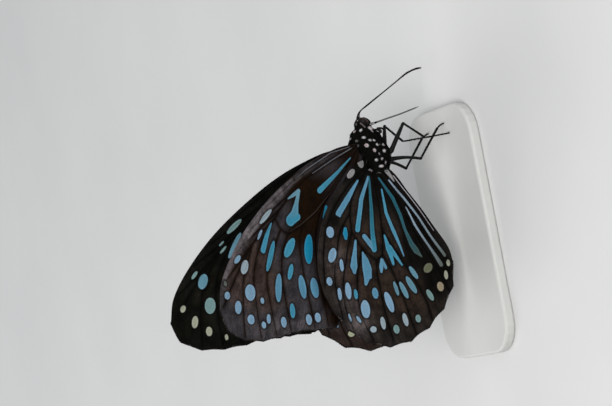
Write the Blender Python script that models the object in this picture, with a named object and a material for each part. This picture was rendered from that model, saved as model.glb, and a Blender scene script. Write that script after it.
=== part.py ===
"""Blue tiger butterfly standing with its wings closed upwards, on a plain base plate.

Metres, +Z up, +X the way the head points, the animal's left at +Y. The origin is the
centre of the base plate's underside. The driving sizes are millimetres in the butterfly's
own frame, whose origin is the middle of the thorax; each mesh is written in metres.
"""
import math

import bmesh
import bpy
import numpy as np
from mathutils import Vector
from mathutils.geometry import delaunay_2d_cdt

MM = 0.001
GAP = 0.3
ROOT_GAP = 0.34

# Base plate
BASE_LENGTH = 46.0
BASE_WIDTH = 26.0
BASE_THICKNESS = 2.0
BASE_CORNER = 6.0
BASE_EDGE = 0.45

# Place of the thorax above and ahead of the plate's middle
FOOT_LEVEL = -13.6
THORAX_AHEAD = 17.0
THORAX_HEIGHT = BASE_THICKNESS + GAP - FOOT_LEVEL

# Body sections, tail to head: x, height of the middle, half width, half height
THORAX_SECTIONS = (
    (-4.3, -0.10, 1.60, 2.10),
    (-3.2, 0.00, 2.15, 3.05),
    (-1.6, 0.10, 2.60, 3.50),
    (0.2, 0.20, 2.65, 3.60),
    (1.8, 0.45, 2.40, 3.35),
    (3.0, 0.80, 1.90, 2.75),
    (3.7, 0.85, 1.48, 2.25),
    (4.1, 0.75, 1.15, 1.65),
)
HEAD_SECTIONS = (
    (4.4, 0.70, 1.10, 1.50),
    (4.8, 0.66, 1.25, 1.66),
    (5.4, 0.68, 1.35, 1.72),
    (5.95, 0.72, 1.18, 1.50),
    (6.3, 0.76, 0.80, 1.02),
    (6.5, 0.78, 0.35, 0.40),
)
ABDOMEN_SECTIONS = (
    (-22.6, -3.60, 0.30, 0.35),
    (-21.4, -3.20, 0.90, 1.00),
    (-18.0, -2.45, 1.40, 1.55),
    (-14.0, -1.70, 1.55, 1.80),
    (-10.0, -1.00, 1.60, 1.85),
    (-6.5, -0.40, 1.60, 1.95),
    (-4.6, -0.10, 1.50, 2.00),
)
ABDOMEN_RINGS = 8
RING_GROOVE = 0.09

# Eyes: domes set into the sides of the head
EYE_CENTRE = (5.5, 0.78, 0.78)
EYE_HALF = (0.78, 0.93, 1.00)
SOCKET_ROOM = 0.38

# Wings: hinge in the thorax frame, lean from upright and its growth with height
SHEET = 0.50
VEIN_RISE = 0.13
VEIN_FOOT = 0.42
ROOT_SWELL = 0.35
ROOT_REACH = 1.8

FOREWING = {
    "hinge": (1.0, 2.35, 3.0),
    "lean": 9.5,
    "curl": 0.333,
    "tuck": 0.10,
    "tuck_reach": 1.5,
    "scallops": 7,
    "scallop_depth": 0.16,
    "costa": ((0.9, 0.2), (0.6, 3.0), (0.0, 6.6), (-2.2, 13.2), (-5.6, 19.7), (-10.6, 27.1),
              (-16.0, 32.9), (-20.8, 36.5), (-25.0, 37.8)),
    "termen": ((-25.0, 37.8), (-28.2, 36.9), (-30.3, 34.2), (-31.2, 30.5), (-31.3, 26.0),
               (-30.9, 21.5), (-31.1, 17.0), (-31.4, 13.2)),
    "inner": ((-31.4, 13.2), (-30.4, 11.6), (-22.0, 8.4), (-12.0, 4.4), (-4.0, 1.3), (-1.3, 0.2)),
    "veins": {
        "subcosta": ((0.45, 0.8), (-0.4, 6.8), (-2.9, 13.0), (-5.9, 18.6), (-8.6, 23.4)),
        "radius": ((0.1, 0.8), (-1.6, 6.5), (-3.6, 11.5), (-6.3, 16.3), (-8.9, 19.8), (-10.6, 21.7)),
        "radius_1": ((-6.3, 16.3), (-9.4, 22.6), (-12.4, 28.4)),
        "radius_2": ((-8.9, 19.8), (-12.6, 26.4), (-15.8, 32.0)),
        "radius_3": ((-10.6, 21.7), (-14.4, 27.6), (-17.5, 31.6), (-20.4, 35.6)),
        "radius_4": ((-14.4, 27.6), (-19.2, 32.2), (-24.6, 37.0)),
        "radius_5": ((-14.4, 27.6), (-19.8, 30.9), (-25.0, 32.4), (-30.2, 33.1)),
        "median_1": ((-10.6, 21.7), (-15.2, 26.3), (-20.0, 28.7), (-25.0, 29.3), (-30.7, 29.4)),
        "median_2": ((-12.6, 20.8), (-16.0, 23.0), (-20.0, 25.6), (-25.0, 26.1), (-30.7, 26.0)),
        "median_3": ((-13.7, 19.3), (-17.0, 21.4), (-21.0, 22.4), (-25.6, 22.6), (-30.4, 22.5)),
        "cubitus": ((-0.4, 0.8), (-3.6, 4.2), (-7.6, 8.6), (-10.6, 12.4), (-12.4, 15.8), (-13.7, 19.3)),
        "cell_end": ((-13.7, 19.3), (-12.6, 20.8), (-10.6, 21.7)),
        "cubitus_1": ((-12.4, 15.8), (-15.2, 17.1), (-20.0, 17.5), (-25.0, 17.3), (-30.5, 17.2)),
        "cubitus_2": ((-7.6, 8.6), (-11.4, 12.0), (-16.0, 13.7), (-24.0, 14.2), (-30.7, 14.1)),
        "anal": ((-0.9, 0.7), (-8.0, 4.6), (-18.0, 8.9), (-25.5, 11.3), (-30.3, 12.4)),
    },
}
HINDWING = {
    "hinge": (-2.5, 3.88, 2.2),
    "lean": 8.5,
    "curl": 0.13,
    "tuck": 1.08,
    "tuck_reach": 1.6,
    "scallops": 8,
    "scallop_depth": 0.26,
    "costa": ((0.7, 0.3), (-0.6, 3.6), (-2.8, 6.7), (-5.8, 10.3), (-10.0, 13.2), (-15.6, 15.1),
              (-20.5, 15.2), (-24.5, 13.9)),
    "termen": ((-24.5, 13.9), (-28.0, 11.6), (-30.7, 8.7), (-32.3, 5.0), (-32.8, 1.5), (-32.2, -2.0),
               (-30.8, -5.4), (-28.5, -8.7), (-25.7, -11.4), (-22.5, -13.0), (-19.5, -13.4)),
    "inner": ((-19.5, -13.4), (-16.3, -12.4), (-11.2, -9.7), (-6.4, -6.9), (-2.8, -4.9),
              (-0.6, -2.9), (0.3, -0.8)),
    "veins": {
        "subcosta": ((-0.3, 1.3), (-1.8, 3.7), (-4.6, 7.4), (-8.4, 10.9), (-13.0, 13.2), (-20.0, 14.5)),
        "radius": ((-0.6, 0.6), (-3.0, 3.6), (-5.6, 5.6), (-8.2, 6.5)),
        "radial_sector": ((-8.2, 6.5), (-11.4, 9.4), (-15.0, 10.8), (-20.0, 12.3), (-26.6, 12.0)),
        "cell_top": ((-8.2, 6.5), (-11.6, 6.8)),
        "median_1": ((-11.6, 6.8), (-14.2, 8.3), (-17.0, 9.3), (-20.4, 10.7), (-24.4, 11.1),
                     (-28.6, 10.2)),
        "median_2": ((-14.6, 5.4), (-17.2, 6.4), (-20.0, 7.5), (-24.0, 8.1), (-28.0, 7.6), (-31.3, 6.4)),
        "median_3": ((-17.2, 2.5), (-20.0, 3.1), (-25.0, 3.0), (-32.0, 2.3)),
        "cell_end": ((-11.6, 6.8), (-14.6, 5.4), (-16.3, 3.8), (-17.2, 2.5), (-16.3, 1.2)),
        "cubitus": ((-0.9, 0.1), (-6.0, 0.2), (-12.0, 0.3), (-16.3, 1.2)),
        "cubitus_1": ((-16.3, 1.2), (-18.8, 0.1), (-22.0, -0.9), (-26.0, -1.8), (-31.5, -2.8)),
        "cubitus_2": ((-12.0, 0.3), (-15.0, -1.1), (-18.4, -2.9), (-22.0, -4.8), (-26.0, -6.2),
                      (-29.3, -6.8)),
        "anal_2": ((-1.0, -0.7), (-6.0, -3.4), (-10.0, -5.2), (-16.0, -7.6), (-20.0, -9.7), (-24.6, -11.5)),
        "anal_3": ((-0.9, -1.5), (-4.0, -3.6), (-7.4, -5.5), (-11.0, -7.3), (-15.0, -9.4), (-19.8, -12.4)),
    },
}
OUTLINE_STEP = 1.5
VEIN_STEP = 2.2
FILL_STEP = 3.1

# Limbs, right side, in the thorax frame: corners of the path and radii at each corner
COXA_SPREAD = 1.25
COXA_STUB = 0.35
LEG_RADII = (0.50, 0.42, 0.34, 0.27, 0.26, 0.34)
MID_LEG = {"root_x": -0.5, "corners": ((4.0, -4.0, -5.5), (0.75, -4.7, -9.0)), "foot": (0.9, -5.1)}
HIND_LEG = {"root_x": -1.9, "corners": ((-2.8, -3.4, -8.0), (2.3, -3.5, -12.4)), "foot": (2.9, -3.5)}
FOOT_DROP = 0.55
LEFT_SHIFT = {"mid": 0.7, "hind": -0.9}
FORE_LEG = ((4.0, -0.95, -1.9), (4.1, -0.95, -2.9), (3.4, -0.9, -3.7))
FORE_LEG_RADII = (0.32, 0.28, 0.25, 0.18)

# Feelers, palps and tongue
ANTENNA_RIGHT = ((7.6, -0.85, 0.95), (8.6, -1.2, -0.8), (11.15, -2.25, -5.2), (13.0, -3.0, -8.5),
                 (13.55, -3.35, -10.2), (13.6, -3.6, -11.4))
ANTENNA_LEFT = ((7.6, 0.8, 0.75), (8.8, 1.1, -1.6), (10.7, 1.7, -5.4), (12.7, 2.35, -9.3),
                (13.7, 2.7, -11.3), (14.0, 2.85, -12.4))
ANTENNA_ROOT = (6.3, 0.42)
ANTENNA_RADII = (0.27, 0.25, 0.25, 0.25, 0.26, 0.33, 0.20)
PALP_ROOT = (5.25, -50)
PALP = ((5.35, -0.95, -1.45), (5.5, -0.9, -1.9), (5.65, -0.85, -2.2))
PALP_RADII = (0.30, 0.29, 0.27, 0.16)
TONGUE_ROOT = (5.05, -90)
TONGUE = ((5.25, 0.0, -2.2), (5.6, 0.0, -4.2), (6.2, 0.0, -7.6), (7.0, 0.0, -11.2))
TONGUE_RADII = (0.30, 0.27, 0.25, 0.25, 0.20)

BLACK = (0.012, 0.011, 0.012)
WING_BROWN = (0.045, 0.028, 0.020)
EYE_BROWN = (0.060, 0.028, 0.018)
PLATE_WHITE = (0.78, 0.77, 0.74)


def clear_scene():
    """Take away whatever objects the file opened with."""
    for old in list(bpy.data.objects):
        bpy.data.objects.remove(old, do_unlink=True)


def finish(name, colour, roughness, metallic=0.0):
    """One Principled material for one node."""
    material = bpy.data.materials.new(name + "_finish")
    material.use_nodes = True
    shader = material.node_tree.nodes["Principled BSDF"]
    shader.inputs["Base Color"].default_value = (*colour, 1.0)
    shader.inputs["Roughness"].default_value = roughness
    shader.inputs["Metallic"].default_value = metallic
    material.diffuse_color = (*colour, 1.0)
    return material


def add_node(name, points, faces, material, parent):
    """Put points (mm) and faces into one closed mesh object whose faces point outwards."""
    mesh = bpy.data.meshes.new(name)
    mesh.from_pydata([Vector(p) * MM for p in points], [], [list(f) for f in faces])
    work = bmesh.new()
    work.from_mesh(mesh)
    bmesh.ops.recalc_face_normals(work, faces=work.faces)
    work.to_mesh(mesh)
    work.free()
    mesh.shade_smooth()
    mesh.set_sharp_from_angle(angle=math.radians(40))
    mesh.materials.append(material)
    node = bpy.data.objects.new(name, mesh)
    node.parent = parent
    bpy.context.scene.collection.objects.link(node)
    return node


def smooth_line(corners, step):
    """Catmull-Rom curve through the corners, with a point about every step."""
    corners = np.array(corners, float)
    ends = np.vstack([2 * corners[0] - corners[1], corners, 2 * corners[-1] - corners[-2]])
    line = [corners[0]]
    for i in range(len(corners) - 1):
        a, b, c, d = ends[i:i + 4]
        count = max(1, round(float(np.linalg.norm(c - b)) / step))
        for k in range(1, count + 1):
            t = k / count
            line.append(0.5 * (2 * b + (c - a) * t + (2 * a - 5 * b + 4 * c - d) * t * t
                               + (3 * b - a - 3 * c + d) * t ** 3))
    return np.array(line)


def section_at(sections, x):
    """Middle height, half width and half height of a body at x."""
    table = np.array(sections)
    return [float(np.interp(x, table[:, 0], table[:, k])) for k in (1, 2, 3)]


def surface_point(sections, x, angle):
    """Point and outward normal of a body's skin; angle 0 is its left side and 90 its back."""
    turn = math.radians(angle)

    def skin(at, way):
        middle, wide, high = section_at(sections, at)
        return Vector((at, wide * math.cos(way), middle + high * math.sin(way)))

    ahead = skin(x + 0.1, turn) - skin(x - 0.1, turn)
    around = skin(x, turn + 0.05) - skin(x, turn - 0.05)
    return skin(x, turn), around.cross(ahead).normalized()


def body_of_rings(sections, step, sides, groove=None):
    """Elliptic rings along x, closed by a flat face at each end."""
    rows = smooth_line(sections, step)
    points = []
    for x, middle, wide, high in rows:
        pinch = 1.0 - (groove(x) if groove else 0.0)
        for k in range(sides):
            turn = 2 * math.pi * k / sides
            points.append((x, wide * pinch * math.cos(turn), middle + high * pinch * math.sin(turn)))
    faces = []
    for i in range(len(rows) - 1):
        for k in range(sides):
            j = (k + 1) % sides
            faces.append((i * sides + k, i * sides + j, (i + 1) * sides + j, (i + 1) * sides + k))
    faces.append(tuple(range(sides)))
    faces.append(tuple((len(rows) - 1) * sides + k for k in range(sides)))
    return points, faces


def abdomen_groove(x):
    """Narrow waist between one ring of the abdomen and the next."""
    front = ABDOMEN_SECTIONS[-1][0]
    tail = ABDOMEN_SECTIONS[0][0]
    phase = (front - x) / (front - tail) * ABDOMEN_RINGS
    return RING_GROOVE * abs(math.cos(math.pi * phase)) ** 6 if 0.4 < phase < ABDOMEN_RINGS - 0.3 else 0.0


def wing_point(wing, s, r):
    """Middle of the wing sheet on the left side, and its outward direction.

    s runs ahead along the body and r up the wing. The sheet leans out more with height on an
    arc, and near the hinge it tucks in towards the thorax.
    """
    x0, y0, z0 = wing["hinge"]
    start = math.radians(wing["lean"])
    curl = math.radians(wing["curl"])
    lean = start + curl * r
    y = y0 + (math.cos(start) - math.cos(lean)) / curl
    z = z0 + (math.sin(lean) - math.sin(start)) / curl
    y -= wing["tuck"] * math.exp(-(s * s + r * r) / wing["tuck_reach"] ** 2)
    return np.array((x0 + s, y, z)), np.array((0.0, math.cos(lean), -math.sin(lean)))


def scalloped(line, count, depth):
    """Push an outer edge out at the vein ends and in between them."""
    run = np.r_[0, np.cumsum(np.linalg.norm(np.diff(line, axis=0), axis=1))]
    run = run / run[-1]
    along = np.gradient(line, axis=0)
    along /= np.linalg.norm(along, axis=1)[:, None]
    outward = np.c_[along[:, 1], -along[:, 0]]
    fade = np.clip(np.minimum(run, 1 - run) * 8, 0, 1)
    wave = depth * np.cos(2 * math.pi * count * run) * fade
    middle = line.mean(axis=0)
    side = np.sign(((line - middle) * outward).sum())
    return line + side * outward * wave[:, None]


def distance_to_lines(points, lines):
    """Shortest distance from each point to a set of polylines."""
    best = np.full(len(points), 1e9)
    for line in lines:
        for a, b in zip(line[:-1], line[1:]):
            ab = b - a
            t = np.clip(((points - a) @ ab) / (ab @ ab), 0, 1)
            best = np.minimum(best, np.linalg.norm(points - (a + t[:, None] * ab), axis=1))
    return best


def inside(points, ring):
    """Whether each point lies inside a closed outline."""
    x, y = points[:, 0], points[:, 1]
    hit = np.zeros(len(points), bool)
    for (ax, ay), (bx, by) in zip(ring, np.roll(ring, -1, axis=0)):
        crosses = (ay > y) != (by > y)
        level = ax + (y - ay) / (by - ay if by != ay else 1e-12) * (bx - ax)
        hit ^= crosses & (x < level)
    return hit


def wing_outline(wing):
    """Leading edge, scalloped outer edge and inner edge as one closed ring."""
    costa = smooth_line(wing["costa"], OUTLINE_STEP)
    termen = scalloped(smooth_line(wing["termen"], OUTLINE_STEP * 0.8), wing["scallops"],
                       wing["scallop_depth"])
    inner = smooth_line(wing["inner"], OUTLINE_STEP)
    return np.vstack([costa[:-1], termen[:-1], inner])


def wing_plan(wing):
    """Flat triangles of a wing: outline, vein lines with the foot of each ridge, and a loose fill."""
    ring = wing_outline(wing)
    veins = [smooth_line(v, VEIN_STEP) for v in wing["veins"].values()]
    points = list(ring)
    edges = [(i, (i + 1) % len(ring)) for i in range(len(ring))]
    for n, vein in enumerate(veins):
        others = veins[:n] + veins[n + 1:]
        first = len(points)
        points.extend(vein)
        edges.extend((first + i, first + i + 1) for i in range(len(vein) - 1))
        along = np.gradient(vein, axis=0)
        along /= np.linalg.norm(along, axis=1)[:, None]
        for side in (-1, 1):
            foot = vein + side * VEIN_FOOT * np.c_[-along[:, 1], along[:, 0]]
            clear = distance_to_lines(foot, others) > VEIN_FOOT * 1.3
            clear &= distance_to_lines(foot, [np.vstack([ring, ring[:1]])]) > VEIN_FOOT
            clear &= inside(foot, ring)
            points.extend(foot[clear])
    lows, highs = ring.min(axis=0), ring.max(axis=0)
    grid = []
    for row, y in enumerate(np.arange(lows[1], highs[1], FILL_STEP * 0.87)):
        for x in np.arange(lows[0] + (row % 2) * FILL_STEP / 2, highs[0], FILL_STEP):
            grid.append((x, y))
    grid = np.array(grid)
    keep = inside(grid, ring) & (distance_to_lines(grid, veins) > FILL_STEP * 0.42)
    keep &= distance_to_lines(grid, [np.vstack([ring, ring[:1]])]) > FILL_STEP * 0.4
    points.extend(grid[keep])
    flat, _, faces, _, _, _ = delaunay_2d_cdt([Vector(p) for p in points], edges, [], 0, 0.02)
    flat = np.array([tuple(p) for p in flat])
    faces = np.array(faces)
    corners = flat[faces]
    area = np.abs(np.cross(corners[:, 1] - corners[:, 0], corners[:, 2] - corners[:, 0])) / 2
    faces = faces[inside(corners.mean(axis=1), ring) & (area > 1e-4)]
    rise = VEIN_RISE * np.clip(1 - distance_to_lines(flat, veins) / VEIN_FOOT, 0, 1)
    return flat, faces, rise


def wing_solid(wing, side):
    """Both faces of the membrane from the same triangles, joined by a rim."""
    flat, faces, rise = wing_plan(wing)
    used = sorted(set(faces.ravel()))
    order = {old: new for new, old in enumerate(used)}
    outer, inner = [], []
    for old in used:
        s, r = flat[old]
        middle, out = wing_point(wing, s, r)
        swell = ROOT_SWELL * math.exp(-(s * s + r * r) / ROOT_REACH ** 2)
        half = SHEET / 2 + rise[old]
        for skin, reach in ((outer, half + swell * 0.5), (inner, -half - swell * 0.5)):
            point = middle + out * reach
            skin.append((point[0], side * point[1], point[2]))
    count = len(used)
    sheet = [tuple(order[i] for i in f) for f in faces]
    solid = [f for f in sheet] + [tuple(count + i for i in reversed(f)) for f in sheet]
    seen = {}
    for f in sheet:
        for a, b in zip(f, f[1:] + f[:1]):
            seen[(a, b)] = seen.get((a, b), 0) + 1
    for a, b in seen:
        if (b, a) not in seen:
            solid.append((b, a, count + a))
            solid.append((b, count + a, count + b))
    return outer + inner, solid


def rounded_path(corners, bend, step):
    """Straight runs between corners, each inner corner eased by a short curve."""
    corners = [Vector(c) for c in corners]
    path = [corners[0]]
    for before, corner, after in zip(corners[:-2], corners[1:-1], corners[2:]):
        back = min(bend, (before - corner).length * 0.45)
        ahead = min(bend, (after - corner).length * 0.45)
        start = corner + (before - corner).normalized() * back
        stop = corner + (after - corner).normalized() * ahead
        for t in (0.0, 0.33, 0.67, 1.0):
            path.append(start * (1 - t) ** 2 + corner * 2 * t * (1 - t) + stop * t * t)
    path.append(corners[-1])
    full = [path[0]]
    for a, b in zip(path[:-1], path[1:]):
        count = max(1, round((b - a).length / step))
        full.extend(a.lerp(b, k / count) for k in range(1, count + 1))
    return full


def tube(path, radius_at, sides, blunt=True):
    """Round tube along a path with a flat face at its root; the far end is flat or a small dome."""
    path = [Vector(p) for p in path]
    total = sum((b - a).length for a, b in zip(path[:-1], path[1:]))
    way = (path[1] - path[0]).normalized()
    across = way.orthogonal().normalized()
    points, run = [], 0.0
    for i, place in enumerate(path):
        if i:
            run += (place - path[i - 1]).length
        before = (place - path[i - 1]).normalized() if i else way
        after = (path[i + 1] - place).normalized() if i < len(path) - 1 else before
        ahead = (before + after).normalized() if i else after
        across = (across - ahead * across.dot(ahead)).normalized()
        up = ahead.cross(across)
        for k in range(sides):
            turn = 2 * math.pi * k / sides
            reach = radius_at(run / total)
            points.append(place + (across * math.cos(turn) + up * math.sin(turn)) * reach)
    faces = []
    for i in range(len(path) - 1):
        for k in range(sides):
            j = (k + 1) % sides
            faces.append((i * sides + k, i * sides + j, (i + 1) * sides + j, (i + 1) * sides + k))
    faces.append(tuple(range(sides)))
    last = (len(path) - 1) * sides
    if blunt:
        faces.append(tuple(last + k for k in range(sides)))
    else:
        points.append(path[-1] + ahead * radius_at(1.0) * 0.7)
        faces.extend((last + k, last + (k + 1) % sides, len(points) - 1) for k in range(sides))
    return [tuple(p) for p in points], faces


def tapered(radii):
    """Radius as a function of the fraction of the length, through evenly spaced values."""
    places = np.linspace(0, 1, len(radii))
    return lambda t: float(np.interp(t, places, radii))


def mirrored(corners, side, ahead=0.0):
    """The right side's corners, for the side asked for: +1 is the left."""
    return [(x + ahead, -side * y, z) for x, y, z in corners]


def rooted(sections, x, angle, stub):
    """First two points of a limb that stands off the body's skin by the working gap."""
    point, normal = surface_point(sections, x, angle)
    start = point + normal * ROOT_GAP
    return [start, start + normal * stub]


def build_leg(name, leg, side, ahead, material, parent):
    """Walking leg: stub under the thorax, thigh, shin, and a tarsus ending in a small foot flat."""
    middle, wide, high = section_at(THORAX_SECTIONS, leg["root_x"])
    angle = -math.degrees(math.acos(COXA_SPREAD / wide))
    start = rooted(THORAX_SECTIONS, leg["root_x"], angle if side > 0 else -180 - angle, COXA_STUB)
    foot_x, foot_y = leg["foot"]
    ends = [(foot_x, foot_y, FOOT_LEVEL + FOOT_DROP), (foot_x, foot_y, FOOT_LEVEL)]
    corners = start + mirrored(leg["corners"], side, ahead) + mirrored(ends, side, ahead)
    path = rounded_path(corners, 0.55, 1.1)
    add_node(name, *tube(path, tapered(LEG_RADII), 8), material, parent)


def build_head(material, eye_material, parent):
    """Head with a hollow each side for its eye, and the two eye domes."""
    head = add_node("head", *body_of_rings(HEAD_SECTIONS, 0.45, 20), material, parent)
    ex, ey, ez = EYE_CENTRE
    for side, name in ((1, "eye_left"), (-1, "eye_right")):
        add_node(name, *dome((ex, ey, ez), EYE_HALF, side, 16, 6), eye_material, parent)
        wide, deep, high = (half + SOCKET_ROOM for half in EYE_HALF)
        hollow = add_node("socket_" + name, *dome((ex, ey - GAP, ez), (wide, deep + GAP, high), side, 16, 6),
                          material, parent)
        hollow.hide_render = True
        hollow.display_type = "WIRE"
        cut = head.modifiers.new("socket_" + name, "BOOLEAN")
        cut.operation = "DIFFERENCE"
        cut.object = hollow


def dome(centre, half, side, sides, rows):
    """Half of an ellipsoid with its flat face towards the middle of the body."""
    x0, y0, z0 = centre
    points = []
    for i in range(rows):
        rise = math.pi / 2 * i / rows
        for k in range(sides):
            turn = 2 * math.pi * k / sides
            points.append((x0 + half[0] * math.cos(rise) * math.cos(turn),
                           side * (y0 + half[1] * math.sin(rise)),
                           z0 + half[2] * math.cos(rise) * math.sin(turn)))
    points.append((x0, side * (y0 + half[1]), z0))
    faces = [tuple(range(sides))]
    for i in range(rows - 1):
        for k in range(sides):
            j = (k + 1) % sides
            faces.append((i * sides + k, i * sides + j, (i + 1) * sides + j, (i + 1) * sides + k))
    last = (rows - 1) * sides
    faces.extend((last + k, last + (k + 1) % sides, len(points) - 1) for k in range(sides))
    return points, faces


def build_base(material):
    """Flat plate with round corners and an eased edge above and below."""
    work = bmesh.new()
    ring = []
    for cx, cy, start in ((1, 1, 0), (-1, 1, 90), (-1, -1, 180), (1, -1, 270)):
        for k in range(7):
            turn = math.radians(start + 15 * k)
            ring.append(work.verts.new((
                (cx * (BASE_LENGTH / 2 - BASE_CORNER) + BASE_CORNER * math.cos(turn)) * MM,
                (cy * (BASE_WIDTH / 2 - BASE_CORNER) + BASE_CORNER * math.sin(turn)) * MM, 0.0)))
    bottom = work.faces.new(ring)
    grown = bmesh.ops.extrude_face_region(work, geom=[bottom])
    top = [v for v in grown["geom"] if isinstance(v, bmesh.types.BMVert)]
    bmesh.ops.translate(work, verts=top, vec=(0, 0, BASE_THICKNESS * MM))
    rim = [e for e in work.edges if abs(e.verts[0].co.z - e.verts[1].co.z) < 1e-9]
    bmesh.ops.bevel(work, geom=rim, offset=BASE_EDGE * MM, segments=2, profile=0.5, affect="EDGES")
    bmesh.ops.recalc_face_normals(work, faces=work.faces)
    mesh = bpy.data.meshes.new("stand_base")
    work.to_mesh(mesh)
    work.free()
    mesh.shade_smooth()
    mesh.set_sharp_from_angle(angle=math.radians(40))
    mesh.materials.append(material)
    plate = bpy.data.objects.new("stand_base", mesh)
    bpy.context.scene.collection.objects.link(plate)


def build_body(parent):
    """Thorax and ringed abdomen, face to face."""
    add_node("thorax", *body_of_rings(THORAX_SECTIONS, 0.9, 20), finish("thorax", BLACK, 0.75), parent)
    add_node("abdomen", *body_of_rings(ABDOMEN_SECTIONS, 0.62, 14, abdomen_groove),
             finish("abdomen", BLACK, 0.7), parent)


def build_wings(parent):
    """The four wings, the hind pair outside the fore pair."""
    for label, wing in (("forewing", FOREWING), ("hindwing", HINDWING)):
        for side, name in ((1, "left"), (-1, "right")):
            full = label + "_" + name
            add_node(full, *wing_solid(wing, side), finish(full, WING_BROWN, 0.55), parent)


def build_limbs(parent):
    """Four walking legs, the two short folded fore legs, feelers, palps and tongue."""
    for side, name in ((1, "left"), (-1, "right")):
        skin = finish("legs_" + name, BLACK, 0.5)
        left = side > 0
        build_leg("leg_mid_" + name, MID_LEG, side, LEFT_SHIFT["mid"] if left else 0.0, skin, parent)
        build_leg("leg_hind_" + name, HIND_LEG, side, LEFT_SHIFT["hind"] if left else 0.0, skin, parent)

        root = rooted(THORAX_SECTIONS, 3.1, -62 if left else -118, 0.4)
        path = rounded_path(root + mirrored(FORE_LEG, side), 0.35, 0.7)
        add_node("leg_fore_" + name, *tube(path, tapered(FORE_LEG_RADII), 8, False), skin, parent)

        corners = ANTENNA_LEFT if left else ANTENNA_RIGHT
        x, y = ANTENNA_ROOT
        wide = section_at(HEAD_SECTIONS, x)[1]
        angle = math.degrees(math.acos(y / wide))
        root = rooted(HEAD_SECTIONS, x, angle if left else 180 - angle, 0.35)
        path = smooth_line([tuple(p) for p in root] + list(corners), 1.1)
        add_node("antenna_" + name, *tube(path, tapered(ANTENNA_RADII), 8, False),
                 finish("antenna_" + name, BLACK, 0.45), parent)

        x, angle = PALP_ROOT
        root = rooted(HEAD_SECTIONS, x, angle if left else -180 - angle, 0.3)
        path = smooth_line([tuple(p) for p in root] + mirrored(PALP, side), 0.4)
        add_node("palp_" + name, *tube(path, tapered(PALP_RADII), 8, False),
                 finish("palp_" + name, BLACK, 0.7), parent)

    root = rooted(HEAD_SECTIONS, *TONGUE_ROOT, 0.3)
    path = smooth_line([tuple(p) for p in root] + list(TONGUE), 1.0)
    add_node("proboscis", *tube(path, tapered(TONGUE_RADII), 8, False),
             finish("proboscis", BLACK, 0.4), parent)


def main():
    """Build the plate, then the butterfly in its own frame above it."""
    clear_scene()
    build_base(finish("stand_base", PLATE_WHITE, 0.45))
    frame = bpy.data.objects.new("butterfly_frame", None)
    frame.location = (THORAX_AHEAD * MM, 0.0, THORAX_HEIGHT * MM)
    bpy.context.scene.collection.objects.link(frame)
    build_body(frame)
    build_head(finish("head", BLACK, 0.75), finish("eyes", EYE_BROWN, 0.25), frame)
    build_wings(frame)
    build_limbs(frame)


main()
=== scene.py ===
"""Looks of the blue tiger butterfly: skin, coat, veined wings, eyes, limbs, plate, floor and light.

Lengths are millimetres in the butterfly's own frame: x ahead, y to its left, z up, from the
middle of the thorax. Each mesh is written in metres, at its place in the row frame.
"""
import math

import bpy
import numpy as np
from mathutils import Matrix, Vector


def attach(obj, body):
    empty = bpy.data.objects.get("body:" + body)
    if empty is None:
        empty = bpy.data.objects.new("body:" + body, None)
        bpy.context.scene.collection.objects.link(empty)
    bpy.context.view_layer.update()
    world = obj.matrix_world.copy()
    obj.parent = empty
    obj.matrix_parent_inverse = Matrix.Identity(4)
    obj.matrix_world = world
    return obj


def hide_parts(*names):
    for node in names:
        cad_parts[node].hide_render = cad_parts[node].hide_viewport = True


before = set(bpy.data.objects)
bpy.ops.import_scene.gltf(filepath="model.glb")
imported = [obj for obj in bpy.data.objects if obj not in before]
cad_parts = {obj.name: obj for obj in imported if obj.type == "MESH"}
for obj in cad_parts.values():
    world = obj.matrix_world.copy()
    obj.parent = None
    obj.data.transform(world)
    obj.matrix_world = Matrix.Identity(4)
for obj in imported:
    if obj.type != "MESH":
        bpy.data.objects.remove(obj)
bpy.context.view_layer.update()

# A millimetre in metres, the thorax's place in the row frame, and the plate's top, both in mm
MM = 0.001
THORAX_PLACE = np.array((17.0, 0.0, 15.9))
PLATE_TOP = -13.9
SIDES = ((1, "left"), (-1, "right"))

# Body from tail to head: x, height of the middle, half width, half height
BODY = (
    (-22.6, -3.60, 0.30, 0.35), (-21.4, -3.20, 0.90, 1.00), (-18.0, -2.45, 1.40, 1.55),
    (-14.0, -1.70, 1.55, 1.80), (-10.0, -1.00, 1.60, 1.85), (-6.5, -0.40, 1.60, 1.95),
    (-4.7, -0.12, 1.62, 2.05), (-3.2, 0.00, 2.15, 3.05), (-1.6, 0.10, 2.60, 3.50),
    (0.2, 0.20, 2.65, 3.60), (1.8, 0.45, 2.40, 3.35), (3.0, 0.80, 1.93, 2.82), (3.7, 0.88, 1.58, 2.42),
    (4.2, 0.79, 1.38, 2.05), (4.6, 0.70, 1.29, 1.76), (5.0, 0.67, 1.33, 1.72), (5.5, 0.67, 1.32, 1.65),
    (5.95, 0.67, 1.14, 1.38), (6.3, 0.70, 0.78, 0.92), (6.45, 0.73, 0.42, 0.50), (6.5, 0.75, 0.12, 0.14),
)
# How deep the skin lies under the coat, where the abdomen and the head begin, and the abdomen's
# rings: their number, the depth and reach of the groove between two, and how far each widens.
# The skin's grid is its count of points along and round.
COAT = 0.16
WAIST = -4.5
NECK = 4.35
ABDOMEN_RINGS = 8
RING_GROOVE = 0.075
RING_SHARE = 0.09
RING_FLARE = 0.03
SKIN_GRID = (330, 144)
# Swellings of the skin: x, angle up from the side, reach and height
LUMPS = (
    (0.9, 56, 1.1, 0.45), (-2.5, 44, 1.0, 0.50), (2.2, 52, 0.6, 0.30), (3.9, 60, 0.5, 0.16),
    (3.1, -62, 0.6, 0.35), (-0.5, -61, 0.8, 0.35), (-1.9, -60, 0.8, 0.35),
)
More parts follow.
